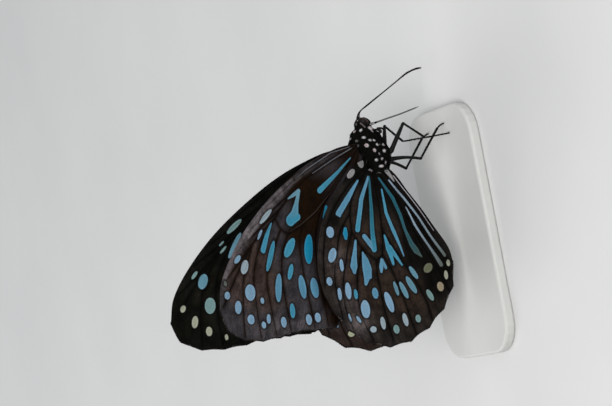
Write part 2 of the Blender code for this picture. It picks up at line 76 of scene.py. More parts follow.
# White dots of the coat: x, angle up from the side, half size along and around, and brightness
DOTS = (
    (4.03, 64, 0.24, 0.28, 1.0), (4.08, 28, 0.30, 0.27, 0.9), (2.65, 22, 0.26, 0.36, 1.0),
    (2.22, 48, 0.26, 0.26, 0.3), (1.31, 49, 0.30, 0.24, 0.3), (1.12, 23, 0.40, 0.38, 0.85),
    (1.97, 6, 0.25, 0.29, 0.9), (1.86, -7, 0.23, 0.24, 0.9), (0.99, -11, 0.28, 0.26, 0.9),
    (0.93, -19, 0.10, 0.16, 0.5), (0.85, -36, 0.24, 0.38, 1.0), (0.03, 4, 0.36, 0.31, 0.9),
    (-0.30, -30, 0.34, 0.42, 0.95), (-0.75, -8, 0.22, 0.16, 0.6), (-1.25, -59, 0.20, 0.34, 0.5),
    (-1.77, 5, 0.30, 0.32, 0.9), (-1.70, -15, 0.26, 0.24, 0.9), (-2.50, -29, 0.38, 0.20, 1.0),
    (-2.98, -8, 0.20, 0.40, 0.9), (-3.35, 28, 0.30, 0.36, 0.7), (-4.05, 5, 0.16, 0.38, 0.35),
    (-2.55, -59, 0.24, 0.24, 0.35), (4.26, -35, 0.38, 0.56, 1.0), (3.72, -31, 0.34, 0.17, 0.8),
    (5.97, 60, 0.15, 0.13, 0.7), (5.35, 68, 0.26, 0.18, 0.3), (5.15, -62, 0.26, 0.24, 0.7),
    (3.0, -85, 0.25, 0.22, 0.8), (1.2, -76, 0.28, 0.24, 0.8), (2.9, 86, 0.22, 0.24, 0.7),
)
TAIL_DOTS = {"angles": (-38, 6, -75), "half": (0.26, 0.22), "bright": 0.8}
EYE_STRIPE = {"ahead": (5.40, 33), "behind": (4.55, 3), "half": 0.14, "bright": 0.3}

# Left eye: centre, half sizes and how far its long axis leans ahead, in degrees
EYE_CENTRE = (5.62, 0.74, 0.72)
EYE_HALF = (0.66, 0.88, 1.00)
EYE_LEAN = 40.0

# Wings in wing millimetres from the hinge, tailward below zero and up the wing. The sheet leans out
# by lean degrees at the hinge and by curl degrees more with each millimetre of height. The edges
# are corners of smooth curves, and size is the count of points across and along.
FOREWING = {
    "hinge": (1.0, 2.35, 3.0), "lean": 9.5, "curl": 0.333, "tuck": 0.10, "tuck_reach": 1.5,
    "teeth": 7, "tooth": 0.12, "size": (134, 206),
    "root": ((0.8, -0.9), (-1.2, -0.9)),
    "costa": ((0.8, -0.9), (0.6, 3.0), (0.0, 6.6), (-2.2, 13.2), (-5.6, 19.7), (-10.6, 27.1),
              (-16.0, 32.9), (-20.8, 36.5), (-25.0, 37.8)),
    "termen": ((-25.0, 37.8), (-28.2, 36.9), (-30.3, 34.2), (-31.2, 30.5), (-31.3, 26.0),
               (-30.9, 21.5), (-31.1, 17.0), (-31.4, 13.2)),
    "inner": ((-1.2, -0.9), (-4.0, 1.3), (-12.0, 4.4), (-22.0, 8.4), (-30.4, 11.6), (-31.4, 13.2)),
    "veins": (
        ((0.45, 0.8), (-0.4, 6.8), (-2.9, 13.0), (-5.9, 18.6), (-8.6, 23.4)),
        ((0.1, 0.8), (-1.6, 6.5), (-3.6, 11.5), (-6.3, 16.3), (-8.9, 19.8), (-10.6, 21.7)),
        ((-6.3, 16.3), (-9.4, 22.6), (-12.4, 28.4)),
        ((-8.9, 19.8), (-12.6, 26.4), (-15.8, 32.0)),
        ((-10.6, 21.7), (-14.4, 27.6), (-17.5, 31.6), (-20.4, 35.6)),
        ((-14.4, 27.6), (-19.2, 32.2), (-24.6, 37.0)),
        ((-14.4, 27.6), (-19.8, 30.9), (-25.0, 32.4), (-30.2, 33.1)),
        ((-10.6, 21.7), (-15.2, 26.3), (-20.0, 28.7), (-25.0, 29.3), (-30.7, 29.4)),
        ((-12.6, 20.8), (-16.0, 23.0), (-20.0, 25.6), (-25.0, 26.1), (-30.7, 26.0)),
        ((-13.7, 19.3), (-17.0, 21.4), (-21.0, 22.4), (-25.6, 22.6), (-30.4, 22.5)),
        ((-0.4, 0.8), (-3.6, 4.2), (-7.6, 8.6), (-10.6, 12.4), (-12.4, 15.8), (-13.7, 19.3)),
        ((-13.7, 19.3), (-12.6, 20.8), (-10.6, 21.7)),
        ((-12.4, 15.8), (-15.2, 17.1), (-20.0, 17.5), (-25.0, 17.3), (-30.5, 17.2)),
        ((-7.6, 8.6), (-11.4, 12.0), (-16.0, 13.7), (-24.0, 14.2), (-30.7, 14.1)),
        ((-0.9, 0.7), (-8.0, 4.6), (-18.0, 8.9), (-25.5, 11.3), (-30.3, 12.4)),
    ),
}
HINDWING = {
    "hinge": (-2.5, 3.88, 2.2), "lean": 8.5, "curl": 0.13, "tuck": 1.08, "tuck_reach": 1.6,
    "teeth": 8, "tooth": 0.22, "size": (176, 150),
    "root": ((0.9, -0.5), (0.2, -1.3)),
    "costa": ((0.9, -0.5), (0.95, 1.4), (0.45, 3.1), (-0.75, 5.0), (-2.9, 7.2), (-5.8, 10.3), (-10.0, 13.2),
              (-15.6, 15.1), (-20.5, 15.2), (-24.5, 13.9)),
    "termen": ((-24.5, 13.9), (-28.0, 11.6), (-30.7, 8.7), (-32.3, 5.0), (-32.8, 1.5), (-32.2, -2.0),
               (-30.8, -5.4), (-28.5, -8.7), (-25.7, -11.4), (-22.5, -13.0), (-19.5, -13.5)),
    "inner": ((0.2, -1.3), (-0.6, -2.9), (-2.8, -4.95), (-6.2, -7.0), (-11.4, -10.1), (-16.6, -12.95),
              (-19.5, -13.5)),
    "veins": (
        ((-0.3, 1.3), (-1.8, 3.7), (-4.6, 7.4), (-8.4, 10.9), (-13.0, 13.2), (-20.0, 14.5)),
        ((-0.6, 0.6), (-3.0, 3.6), (-5.6, 5.6), (-8.2, 6.5)),
        ((-8.2, 6.5), (-11.4, 9.4), (-15.0, 10.8), (-20.0, 12.3), (-26.6, 12.0)),
        ((-8.2, 6.5), (-11.6, 6.8)),
        ((-11.6, 6.8), (-14.2, 8.3), (-17.0, 9.3), (-20.4, 10.7), (-24.4, 11.1), (-28.6, 10.2)),
        ((-14.6, 5.4), (-17.2, 6.4), (-20.0, 7.5), (-24.0, 8.1), (-28.0, 7.6), (-31.3, 6.4)),
        ((-17.2, 2.5), (-20.0, 3.1), (-25.0, 3.0), (-32.0, 2.3)),
        ((-11.6, 6.8), (-14.6, 5.4), (-16.3, 3.8), (-17.2, 2.5), (-16.3, 1.2)),
        ((-0.9, 0.1), (-6.0, 0.2), (-12.0, 0.3), (-16.3, 1.2)),
        ((-16.3, 1.2), (-18.8, 0.1), (-22.0, -0.9), (-26.0, -1.8), (-31.5, -2.8)),
        ((-12.0, 0.3), (-15.0, -1.1), (-18.4, -2.9), (-22.0, -4.8), (-26.0, -6.2), (-29.3, -6.8)),
        ((-1.0, -0.7), (-6.0, -3.4), (-10.0, -5.2), (-16.0, -7.6), (-20.0, -9.7), (-24.6, -11.5)),
        ((-0.9, -1.5), (-4.0, -3.6), (-7.4, -5.5), (-11.0, -7.3), (-15.0, -9.4), (-19.8, -12.4)),
    ),
}
WINGS = {"forewing": FOREWING, "hindwing": HINDWING}
# Thickness of the wings: half of the sheet, extra half on a vein and a vein's reach; then how far the
# membrane bows between veins, how far it ripples, and how far a root sinks into the thorax
WING_HALF = 0.055
VEIN_HEIGHT = 0.075
VEIN_REACH = 0.17
PLEAT = 0.11
RIPPLE = 0.10
ROOT_SINK = 1.3
SINK_REACH = 1.2

# Marks of the wings. A streak has points with a width at each; a spot has its middle, length,
# width and turn from the tailward direction. Both are in wing millimetres.
TINTS = {
    "teal": (0.009, 0.180, 0.300), "blue": (0.040, 0.205, 0.305), "slate": (0.078, 0.210, 0.315),
    "sky": (0.095, 0.215, 0.280), "lilac": (0.160, 0.275, 0.385), "pale": (0.240, 0.305, 0.345),
    "sage": (0.135, 0.225, 0.225), "deep": (0.003, 0.080, 0.115), "moss": (0.040, 0.070, 0.062),
    "frost": (0.210, 0.285, 0.360), "bright": (0.400, 0.380, 0.410), "dim": (0.080, 0.095, 0.085),
    "ash": (0.120, 0.130, 0.150), "grey": (0.210, 0.205, 0.205), "cream": (0.270, 0.275, 0.210),
    "butter": (0.440, 0.470, 0.320), "olive": (0.105, 0.115, 0.070), "sand": (0.255, 0.210, 0.145),
    "bark": (0.020, 0.013, 0.010),
}
FORE_STREAKS = (
    ("blue", (-1.7, 2.6, 0.2), (-4.0, 6.0, 0.6), (-6.8, 10.7, 1.05)),
    ("sky blue", (-6.3, 15.1, 0.5), (-8.5, 16.2, 0.85), (-10.4, 17.1, 1.6), (-11.4, 18.3, 1.9)),
    ("blue", (-10.9, 16.6, 1.3), (-11.3, 18.2, 1.9)),
    ("sky", (-6.35, 15.2, 0.7), (-7.0, 16.6, 0.65), (-7.5, 17.9, 0.25)),
    ("teal", (-9.8, 9.8, 0.5), (-11.5, 10.5, 0.9), (-13.0, 11.2, 0.5)),
)
FORE_SPOTS = (
    ("teal", -16.85, 15.4, 5.3, 1.9, 14), ("blue", -16.1, 19.5, 4.0, 1.6, 41),
    ("blue", -20.3, 20.4, 2.9, 1.0, 25), ("slate", -22.75, 23.6, 5.1, 1.4, 16),
    ("slate", -23.25, 18.25, 4.2, 1.6, -1), ("slate", -23.75, 15.6, 3.6, 1.7, 0),
)
FORE_UNDER_STREAKS = (
    ("blue", (-11.4, 22.7, 0.3), (-13.5, 24.2, 0.9), (-15.9, 25.6, 1.0)),
    # The two pale grey streaks near the root are painted highlights along the front veins, where the painted
    # sheen band begins
    ("ash", (0.3, 2.4, 0.10), (-0.4, 6.8, 0.16), (-2.9, 13.0, 0.16), (-4.2, 15.6, 0.08)),
    ("ash", (0.0, 2.0, 0.12), (-1.6, 6.5, 0.16), (-3.6, 11.5, 0.10)),
    ("bark", (-3.4, 4.0, 0.06), (-7.4, 8.3, 0.10), (-10.4, 12.3, 0.11), (-12.2, 15.8, 0.10),
     (-13.3, 18.8, 0.06)),
)
FORE_UNDER_SPOTS = (
    ("pale", -10.1, 23.65, 3.8, 0.85, 55), ("lilac", -13.1, 25.65, 2.1, 0.5, 39),
    ("blue", -17.05, 24.1, 5.8, 1.1, 29), ("lilac", -22.8, 30.2, 2.9, 2.3, 20),
    ("pale", -18.3, 30.4, 2.6, 1.5, 30), ("lilac", -16.8, 31.7, 1.9, 0.9, 55),
    ("lilac", -22.7, 35.5, 1.4, 1.2, 30), ("lilac", -25.0, 33.6, 2.3, 1.5, 15),
    ("lilac", -27.4, 31.1, 1.7, 1.6, 0), ("lilac", -24.5, 27.8, 1.1, 0.8, 0),
    ("lilac", -27.8, 27.1, 1.7, 0.9, 10), ("lilac", -28.7, 28.4, 1.2, 0.9, 0),
    ("lilac", -28.8, 23.9, 1.9, 1.3, 0), ("blue", -27.1, 21.5, 2.6, 1.1, 5),
    ("lilac", -29.1, 18.2, 1.9, 1.3, 0), ("lilac", -29.0, 16.2, 1.7, 1.2, 0),
    ("dim", -20.6, 35.4, 0.9, 0.7, 0),
)
FORE_UPPER_SPOTS = (
    ("sage", -10.0, 23.5, 3.6, 0.9, 55), ("sky", -13.4, 24.0, 5.1, 0.9, 35),
    ("sage", -12.65, 26.3, 1.2, 0.35, 55), ("sage", -13.8, 26.2, 1.8, 0.4, 49),
    ("sage", -17.4, 32.1, 1.7, 0.6, 45), ("sky", -18.8, 30.8, 2.8, 1.6, 25),
    ("sage", -23.3, 30.3, 2.9, 1.9, 10), ("cream", -23.0, 35.2, 1.3, 0.9, 30),
    ("cream", -25.7, 33.5, 2.2, 1.1, 15), ("cream", -27.8, 31.3, 1.7, 1.1, 5),
    ("cream", -29.4, 28.4, 1.1, 0.6, 0), ("cream", -28.8, 26.6, 0.8, 0.5, 0),
    ("cream", -28.8, 23.9, 1.6, 1.1, 0), ("cream", -29.0, 18.2, 1.6, 1.1, 0),
    ("cream", -29.0, 16.2, 1.4, 1.0, 0),
)
HIND_STREAKS = (
    ("slate", (-2.6, 3.55, 0.35), (-5.5, 6.4, 1.05), (-7.9, 8.85, 1.15)),
    ("slate", (-7.95, 9.3, 0.45), (-8.4, 8.7, 0.45)),
    ("slate blue", (-2.2, 1.2, 0.4), (-6.0, 3.6, 0.8), (-11.3, 5.5, 0.9)),
    ("deep blue", (-2.2, 1.0, 0.35), (-8.0, 1.9, 0.7), (-12.0, 2.5, 0.9), (-15.2, 2.8, 1.1)),
    ("slate", (-15.2, 2.8, 0.8), (-14.3, 3.4, 0.95), (-12.7, 4.4, 0.9)),
    ("teal", (-10.8, 8.0, 0.6), (-11.7, 8.2, 1.05), (-12.5, 8.3, 0.6)),
    ("slate", (-13.2, 6.4, 0.4), (-16.0, 7.3, 1.0), (-17.6, 7.7, 1.5), (-18.7, 7.8, 0.7)),
    ("slate", (-15.4, 5.4, 0.3), (-17.0, 5.1, 1.4), (-18.6, 5.0, 1.95), (-19.8, 5.3, 1.4), (-21.1, 5.9, 0.6)),
    ("slate", (-18.6, 4.8, 1.5), (-20.1, 4.6, 0.5)),
    ("slate", (-17.1, 1.6, 0.3), (-18.5, 1.9, 0.8), (-19.4, 2.1, 0.45)),
    ("slate", (-17.3, 1.4, 0.4), (-18.8, 1.0, 0.6)),
    ("blue", (-13.0, 0.0, 0.3), (-15.5, -0.3, 1.1), (-18.4, -0.7, 0.45)),
    ("blue", (-15.3, -0.5, 1.0), (-18.8, -2.5, 0.35)),
    ("blue slate", (-4.8, -1.1, 0.3), (-9.0, -1.1, 0.6), (-13.0, -2.2, 0.7), (-17.3, -3.2, 0.2)),
    ("deep moss", (-2.7, -1.0, 0.35), (-6.7, -3.2, 0.7), (-9.9, -4.1, 0.65), (-12.6, -4.5, 0.55),
     (-15.4, -5.3, 1.0), (-16.6, -6.0, 1.2), (-17.9, -7.0, 0.25)),
    ("frost dim", (-8.6, -5.6, 0.2), (-12.0, -6.8, 0.42), (-16.0, -8.9, 0.42), (-19.9, -10.8, 0.75)),
    ("frost dim", (-3.3, -3.0, 0.25), (-7.0, -5.6, 0.45), (-11.0, -8.0, 0.34), (-15.4, -10.3, 0.42),
     (-18.3, -11.9, 0.62)),
    ("bright", (-2.6, -4.1, 0.14), (-6.2, -6.5, 0.15), (-9.2, -8.2, 0.14), (-13.6, -10.7, 0.08)),
    ("grey", (-1.5, -2.85, 0.8), (-2.6, -3.55, 0.6), (-3.6, -4.1, 0.2)),
)
HIND_SPOTS = (
    ("lilac", -11.0, 11.4, 2.0, 1.6, 10), ("lilac", -15.1, 11.8, 2.7, 1.6, 30),
    ("lilac", -17.1, 10.2, 2.2, 0.8, 5), ("lilac", -19.6, 13.4, 1.5, 1.2, 0),
    ("lilac", -22.1, 11.8, 2.2, 0.8, 5), ("lilac", -21.8, 9.9, 3.0, 1.2, 3),
    ("blue", -22.6, 8.4, 1.8, 0.8, 0), ("lilac", -26.5, 10.5, 1.5, 0.5, -10),
    ("lilac", -27.1, 8.7, 1.5, 0.6, -30), ("lilac", -25.5, 6.9, 3.2, 1.8, 3),
    ("pale", -29.3, 6.1, 1.3, 1.1, 90), ("slate", -23.0, 4.3, 2.0, 1.3, 0),
    ("pale", -28.5, 3.8, 2.3, 1.1, 0), ("lilac", -25.0, 1.7, 3.9, 1.4, -14),
    ("sage", -30.0, 1.2, 1.6, 1.2, 0), ("sky", -22.8, -0.3, 2.7, 0.8, -10),
    ("pale", -28.6, -1.1, 2.4, 1.1, -5), ("sky", -23.3, -1.9, 3.4, 1.0, -20),
    ("sage", -28.8, -3.8, 1.4, 1.1, 0), ("sky", -22.6, -3.7, 3.6, 1.2, -25),
    ("sky", -20.5, -4.7, 2.8, 0.9, -30), ("olive", -20.1, -7.9, 2.1, 1.5, 60),
    ("sage", -25.0, -7.2, 2.3, 1.0, -25), ("sand", -23.8, -9.8, 1.7, 1.5, 0),
    ("cream", -21.9, -11.5, 1.6, 0.8, 0), ("cream", -19.8, -12.4, 1.2, 0.8, 0),
    ("grey", -1.2, 4.75, 2.1, 1.1, 52), ("grey", 0.45, 2.15, 1.7, 1.45, 0),
)
# How late a mark with two tints passes to its second
TINT_PASSING = 1.6
# Tones of the ground: warm patches, dark patches that are partly painted shadow, and patches of painted
# sheen; middle, reach and strength of each soft patch
FORE_WARM = ((-21.0, 31.0, 5.0, 1.0), (-23.0, 26.0, 4.5, 0.7), (-16.0, 27.0, 3.5, 0.5), (-5.0, 8.0, 3.0, 0.3))
# Dark patches of the forewing: its own near-black ground near the root and cell, and painted shadow cast by
# the hindwing along the inner edge (the last three)
FORE_DARK_AND_SHADE = (
    (-1.0, 3.0, 3.5, 0.9), (-6.0, 10.0, 4.0, 0.7), (-12.0, 14.0, 4.0, 0.8), (-14.0, 18.0, 3.0, 0.6),
    (-7.2, 14.2, 3.2, 0.9), (-18.0, 14.0, 3.5, 0.4), (-4.0, 17.0, 3.0, 0.7), (-21.5, 12.6, 2.0, 0.9),
    (-26.0, 13.0, 2.2, 1.0), (-30.0, 12.4, 2.0, 1.0),
)
# Painted sheen: soft pale patches over the outer part of the forewing, light caught on the membrane
FORE_SHEEN_PATCHES = (
    (-24.5, 31.5, 3.5, 0.12), (-28.8, 30.0, 2.6, 0.20), (-29.6, 25.2, 2.6, 0.22), (-29.8, 20.0, 2.4, 0.25),
    (-30.0, 15.8, 2.0, 0.10),
)
HIND_WARM = (
    (-9.0, 2.8, 5.0, 0.6), (-15.0, 9.5, 4.5, 0.9), (-22.0, 6.5, 6.0, 0.7), (-24.0, -3.5, 6.0, 0.8),
    (-13.0, -2.5, 4.0, 0.5),
)
# Dark patches of the hindwing: its own near-black ground near the body, together with painted shade where the
# wing lies in shadow
HIND_DARK_AND_SHADE = (
    (-1.0, 0.0, 3.6, 1.0), (-7.0, -4.5, 3.4, 1.0), (-13.0, -8.0, 3.6, 1.0), (-18.0, -9.5, 3.0, 0.8),
    (-5.0, 1.0, 2.5, 0.6), (-26.0, 12.8, 3.0, 0.8), (-9.2, 10.1, 1.4, 1.0), (-6.0, 9.0, 2.0, 0.5),
    (0.3, 3.6, 2.6, 1.0), (-1.5, 6.6, 1.8, 0.7), (-14.8, -5.4, 2.2, 1.0), (-10.5, -5.6, 2.0, 0.8),
    (-18.6, -4.4, 2.4, 0.7), (-23.5, -8.6, 3.4, 1.0), (-8.5, 2.8, 3.0, 0.55), (-20.5, -11.0, 2.6, 0.8),
)
# Painted sheen on the hindwing: soft pinkish patches of painted reflection over its middle and outer part
HIND_SHEEN_PATCHES = ((-16.0, 11.2, 2.2, 0.6), (-23.0, 10.8, 2.4, 0.4), (-27.5, 9.0, 2.2, 0.8))
TONES = {"forewing": (FORE_WARM, FORE_DARK_AND_SHADE, FORE_SHEEN_PATCHES), "hindwing": (HIND_WARM, HIND_DARK_AND_SHADE, HIND_SHEEN_PATCHES)}
# Painted sheen behind the forewing's leading edge, where its rounded edge catches the light: height up the
# wing, width, strength, and dark rim before it
FORE_SHEEN = (
    (1.0, 0.3, 0.05, 0.3), (9.0, 1.0, 0.25, 0.35), (14.0, 1.3, 0.38, 0.3), (17.0, 1.4, 0.60, 0.2),
    (22.0, 1.7, 0.80, 0.05), (28.0, 1.7, 0.80, 0.0), (32.0, 1.2, 0.75, 0.0), (35.0, 1.0, 0.60, 0.0),
    (37.0, 0.8, 0.05, 0.0),
)

# Counts of lancets on a wing root, a fringe, a palp and a leg
TUFT_COUNT = 2600
FRINGE_COUNT = 1100
PALP_COUNT = 520
SPINE_COUNT = 260
# Furry roots of the wings: share of the wing that they cover, and white dots: place, half size along
# and across, and brightness
ROOT_TUFTS = {
    "forewing": (0.028, ()),
    "hindwing": (0.110, ((-0.97, -0.07, 0.36, 0.44, 1.0), (-0.58, -2.1, 0.26, 0.48, 1.0),
                         (-1.77, -1.3, 0.2, 0.42, 0.4), (0.55, 0.25, 0.42, 0.16, 0.3))),
}

# Limbs of the right side: x and angle of the root, corners, foot, and radius at the hip, thigh,
# knee, shin and foot. The feelers have corners for each side, and x and y of the root.
MID_LEG = {"root": (-0.5, -61.5), "corners": ((4.0, -4.0, -5.5), (0.75, -4.7, -9.0)), "foot": (0.9, -5.1),
           "radii": (0.48, 0.41, 0.28, 0.20, 0.15), "bow": 0.0, "left_ahead": 0.7}
HIND_LEG = {"root": (-1.9, -60), "corners": ((-2.8, -3.4, -8.0), (2.3, -3.5, -12.4)), "foot": (2.9, -3.5),
            "radii": (0.42, 0.28, 0.26, 0.21, 0.15), "bow": 0.25, "left_ahead": -0.9}
# How much of a hip lies inside and outside the skin, how softly a leg bends, and how high the foot
# bends and ends over the plate
HIP_INSIDE = 0.5
HIP_OUTSIDE = 0.15
LEG_BEND = 0.35
ANKLE_HEIGHT = 0.5
SOLE_HEIGHT = 0.06
# Foot joints as shares of the foot; depth and reach of the waist at each; height, reach and distance
# before it of the swelling that leads to it
FOOT_JOINTS = (0.02, 0.42, 0.60, 0.75, 0.88)
JOINT_WAIST = (0.055, 0.07)
JOINT_SWELL = (0.025, 0.10, 0.14)
FORE_LEG_ROOT = (3.1, -62)
FORE_LEG = ((3.98, -0.95, -1.7), (3.98, -0.95, -2.5), (3.3, -0.9, -3.3))
ANTENNAE = {
    -1: ((7.6, -0.85, 0.95), (8.6, -1.2, -0.8), (11.15, -2.25, -5.2), (13.0, -3.0, -8.5),
         (13.55, -3.35, -10.2), (13.6, -3.6, -11.4)),
    1: ((7.6, 0.8, 0.45), (8.8, 1.1, -1.6), (10.7, 1.7, -5.4), (12.7, 2.35, -9.3),
        (13.7, 2.7, -11.3), (14.0, 2.85, -12.4)),
}
ANTENNA_ROOT = (6.36, 0.42)
# Radius at shares of the way along the feeler, fore leg, palp and tongue
ANTENNA_RADII = ((0, 0.16), (0.02, 0.20), (0.035, 0.17), (0.05, 0.125), (0.30, 0.110), (0.72, 0.110),
                 (0.86, 0.17), (0.95, 0.19), (0.985, 0.15), (1.0, 0.05))
ANTENNA_JOINTS = 42
FORE_LEG_RADII = ((0, 0.27), (0.25, 0.27), (0.5, 0.24), (0.62, 0.20), (0.9, 0.15), (1.0, 0.06))
PALP_RADII = ((0, 0.16), (0.4, 0.16), (0.8, 0.13), (0.95, 0.08), (1.0, 0.03))
TONGUE_RADII = ((0, 0.24), (0.15, 0.165), (0.9, 0.14), (1.0, 0.04))
PALP_ROOT = (4.95, -48)
PALP = ((4.98, -0.92, -1.0), (5.05, -0.85, -1.45), (5.15, -0.8, -1.85))
TONGUE = ((5.05, 0.0, -0.7), (5.25, 0.0, -2.2), (5.6, 0.0, -4.2), (6.2, 0.0, -7.6), (7.0, 0.0, -11.2))

# Lancets of the coat: how high the middle rises, how thick the blade is, and where its seven points
# lie in its patch of the unwrap, with the size of that patch
BLADE_RISE = 0.62
BLADE_THICK = 0.28
BLADE_PATCH = np.array(((-0.3, -0.5), (0.3, -0.5), (0, -0.4), (-0.5, 0), (0.5, 0), (0, 0.1), (0, 0.5)))
BLADE_POINTS = len(BLADE_PATCH)
PATCH_SIZE = 0.003
# Spread of the coat's directions, how deep its roots are sunk, and how clear of an eye they stay
COAT_SPREAD = 0.22
ROOT_DEPTH = 0.02
EYE_CLEARANCE = 1.03
# Coat of each stretch of the body: first and last x, count, length, width, lift and seed
COATS = {
    "abdomen": (BODY[0][0] + 0.1, WAIST + 0.2, 17000, 0.36, 0.12, 0.16, 11),
    "thorax": (WAIST, NECK, 17500, 0.46, 0.11, 0.26, 12),
    "head": (NECK - 0.15, BODY[-1][0] - 0.05, 9000, 0.26, 0.07, 0.24, 13),
}
# Colours of the finishes
COAT_LOOKS = {"dark": (0.0023, 0.0024, 0.0019), "white": (0.66, 0.65, 0.67)}
FRINGE_LOOKS = {"dark": (0.006, 0.005, 0.005), "white": (0.60, 0.58, 0.52)}
# For each wing face the dark tone is both the wing's own near-black ground and painted shadow, and the grey
# tone is the colour of the painted sheen
WING_LOOKS = {
    "forewing_under": {"cool": (0.0290, 0.0262, 0.0295), "warm": (0.036, 0.0240, 0.0205),
                       "dark_and_shade": (0.0072, 0.0034, 0.0014), "ash": (0.115, 0.100, 0.106)},
    "forewing_upper": {"cool": (0.0024, 0.0024, 0.0016), "warm": (0.006, 0.0055, 0.0036),
                       "dark_and_shade": (0.0016, 0.0016, 0.0012), "ash": (0.012, 0.011, 0.011)},
    "hindwing_under": {"cool": (0.0140, 0.0120, 0.0105), "warm": (0.024, 0.0155, 0.0115),
                       "dark_and_shade": (0.0034, 0.0031, 0.0026), "ash": (0.085, 0.070, 0.070)},
    "hindwing_upper": {"cool": (0.031, 0.021, 0.0185), "warm": (0.042, 0.028, 0.0245),
                       "dark_and_shade": (0.010, 0.007, 0.006), "ash": (0.060, 0.052, 0.050)},
}
# Eye: brown front, near-black painted shade at the back, and dark seams between the facets
EYE_LOOKS = {"shaded_rear": (0.005, 0.004, 0.004), "face": (0.052, 0.026, 0.022), "seam": (0.006, 0.004, 0.004)}
HORN_LOOKS = {"dark": (0.0030, 0.0030, 0.0030), "light": (0.016, 0.016, 0.016)}
TONGUE_LOOKS = {"dark": (0.005, 0.005, 0.005), "light": (0.21, 0.21, 0.20), "stripe": True}
PLATE_LOOKS = ((0.52, 0.52, 0.50), (0.60, 0.60, 0.58), (0.46, 0.46, 0.44))
FLOOR_LOOKS = ((0.60, 0.60, 0.60), (0.68, 0.68, 0.67))
# Half of the floor's side, in metres
FLOOR_HALF = 3.0

# Lights: place and size in metres, power in watts and colour; then the colour of the sky
LIGHT_TARGET = (0.0, 0.0, 0.026)
LIGHTS = {
    "key": ((-0.10, -0.34, 0.42), 0.34, 2.1, (1.0, 0.98, 0.96)),
    "fill": ((0.30, -0.42, 0.14), 0.40, 0.7, (0.95, 0.97, 1.0)),
    "back": ((-0.26, 0.36, 0.34), 0.36, 1.0, (1.0, 1.0, 1.0)),
}
SKY = (0.86, 0.89, 0.92, 1.0)
SKY_STRENGTH = 0.50

# Camera: the photo's view of the thorax, and how far the thorax is from the middle of the picture
VIEW_RIGHT = Vector((-0.1805, -0.3799, -0.9072))
VIEW_UP = Vector((0.9818, -0.1251, -0.1429))
VIEW_BACK = Vector((-0.0592, -0.9165, 0.3956))
VIEW_DISTANCE = 463.6
VIEW_OFFSET = (11.818, 9.273)
LENS = 150.0


def curve(corners, count):
    """Catmull-Rom curve through the corners: each span is the cubic blend of its two ends and their
    neighbours, read at count places spread evenly by chord length."""
    spans = np.array(corners, float)
    run = np.r_[0, np.cumsum(np.linalg.norm(np.diff(spans, axis=0), axis=1))]
    place = np.interp(np.linspace(0, run[-1], count), run, np.arange(len(spans)))
    first = np.minimum(place.astype(int), len(spans) - 2)
    t = (place - first)[:, None]
    ends = np.vstack([2 * spans[0] - spans[1], spans, 2 * spans[-1] - spans[-2]])
    a, b, c, d = (ends[first + k] for k in range(4))
    square = 2 * a - 5 * b + 4 * c - d
    cube = 3 * b - a - 3 * c + d
    return 0.5 * (2 * b + (c - a) * t + square * t ** 2 + cube * t ** 3)


def bent_path(corners, bend, count):
    """Straight runs between corners, eased by a running mean as long as the bend; the ends stay put."""
    corners = np.array(corners, float)
    run = np.r_[0, np.cumsum(np.linalg.norm(np.diff(corners, axis=0), axis=1))]
    at = np.linspace(0, run[-1], count)
    half = max(1, int(bend / run[-1] * count / 2))
    spare = np.linspace(-half, count - 1 + half, count + 2 * half) * run[-1] / (count - 1)
    line = np.stack([np.interp(spare, run, corners[:, k]) for k in range(3)], axis=1)
    line[:half] = corners[0] + (line[half + 1] - corners[0]) / at[1] * spare[:half, None]
    line[-half:] = corners[-1] + (corners[-1] - line[-half - 2]) / at[1] * (spare[-half:, None] - run[-1])
    window = np.ones(2 * half + 1) / (2 * half + 1)
    return np.stack([np.convolve(line[:, k], window, "valid") for k in range(3)], axis=1), at


def unit(vectors):
    """Vectors scaled to length one."""
    return vectors / np.maximum(np.linalg.norm(vectors, axis=-1, keepdims=True), 1e-12)


def ease(value):
    """Smooth step from 0 to 1."""
    value = np.clip(value, 0, 1)
    return value * value * (3 - 2 * value)


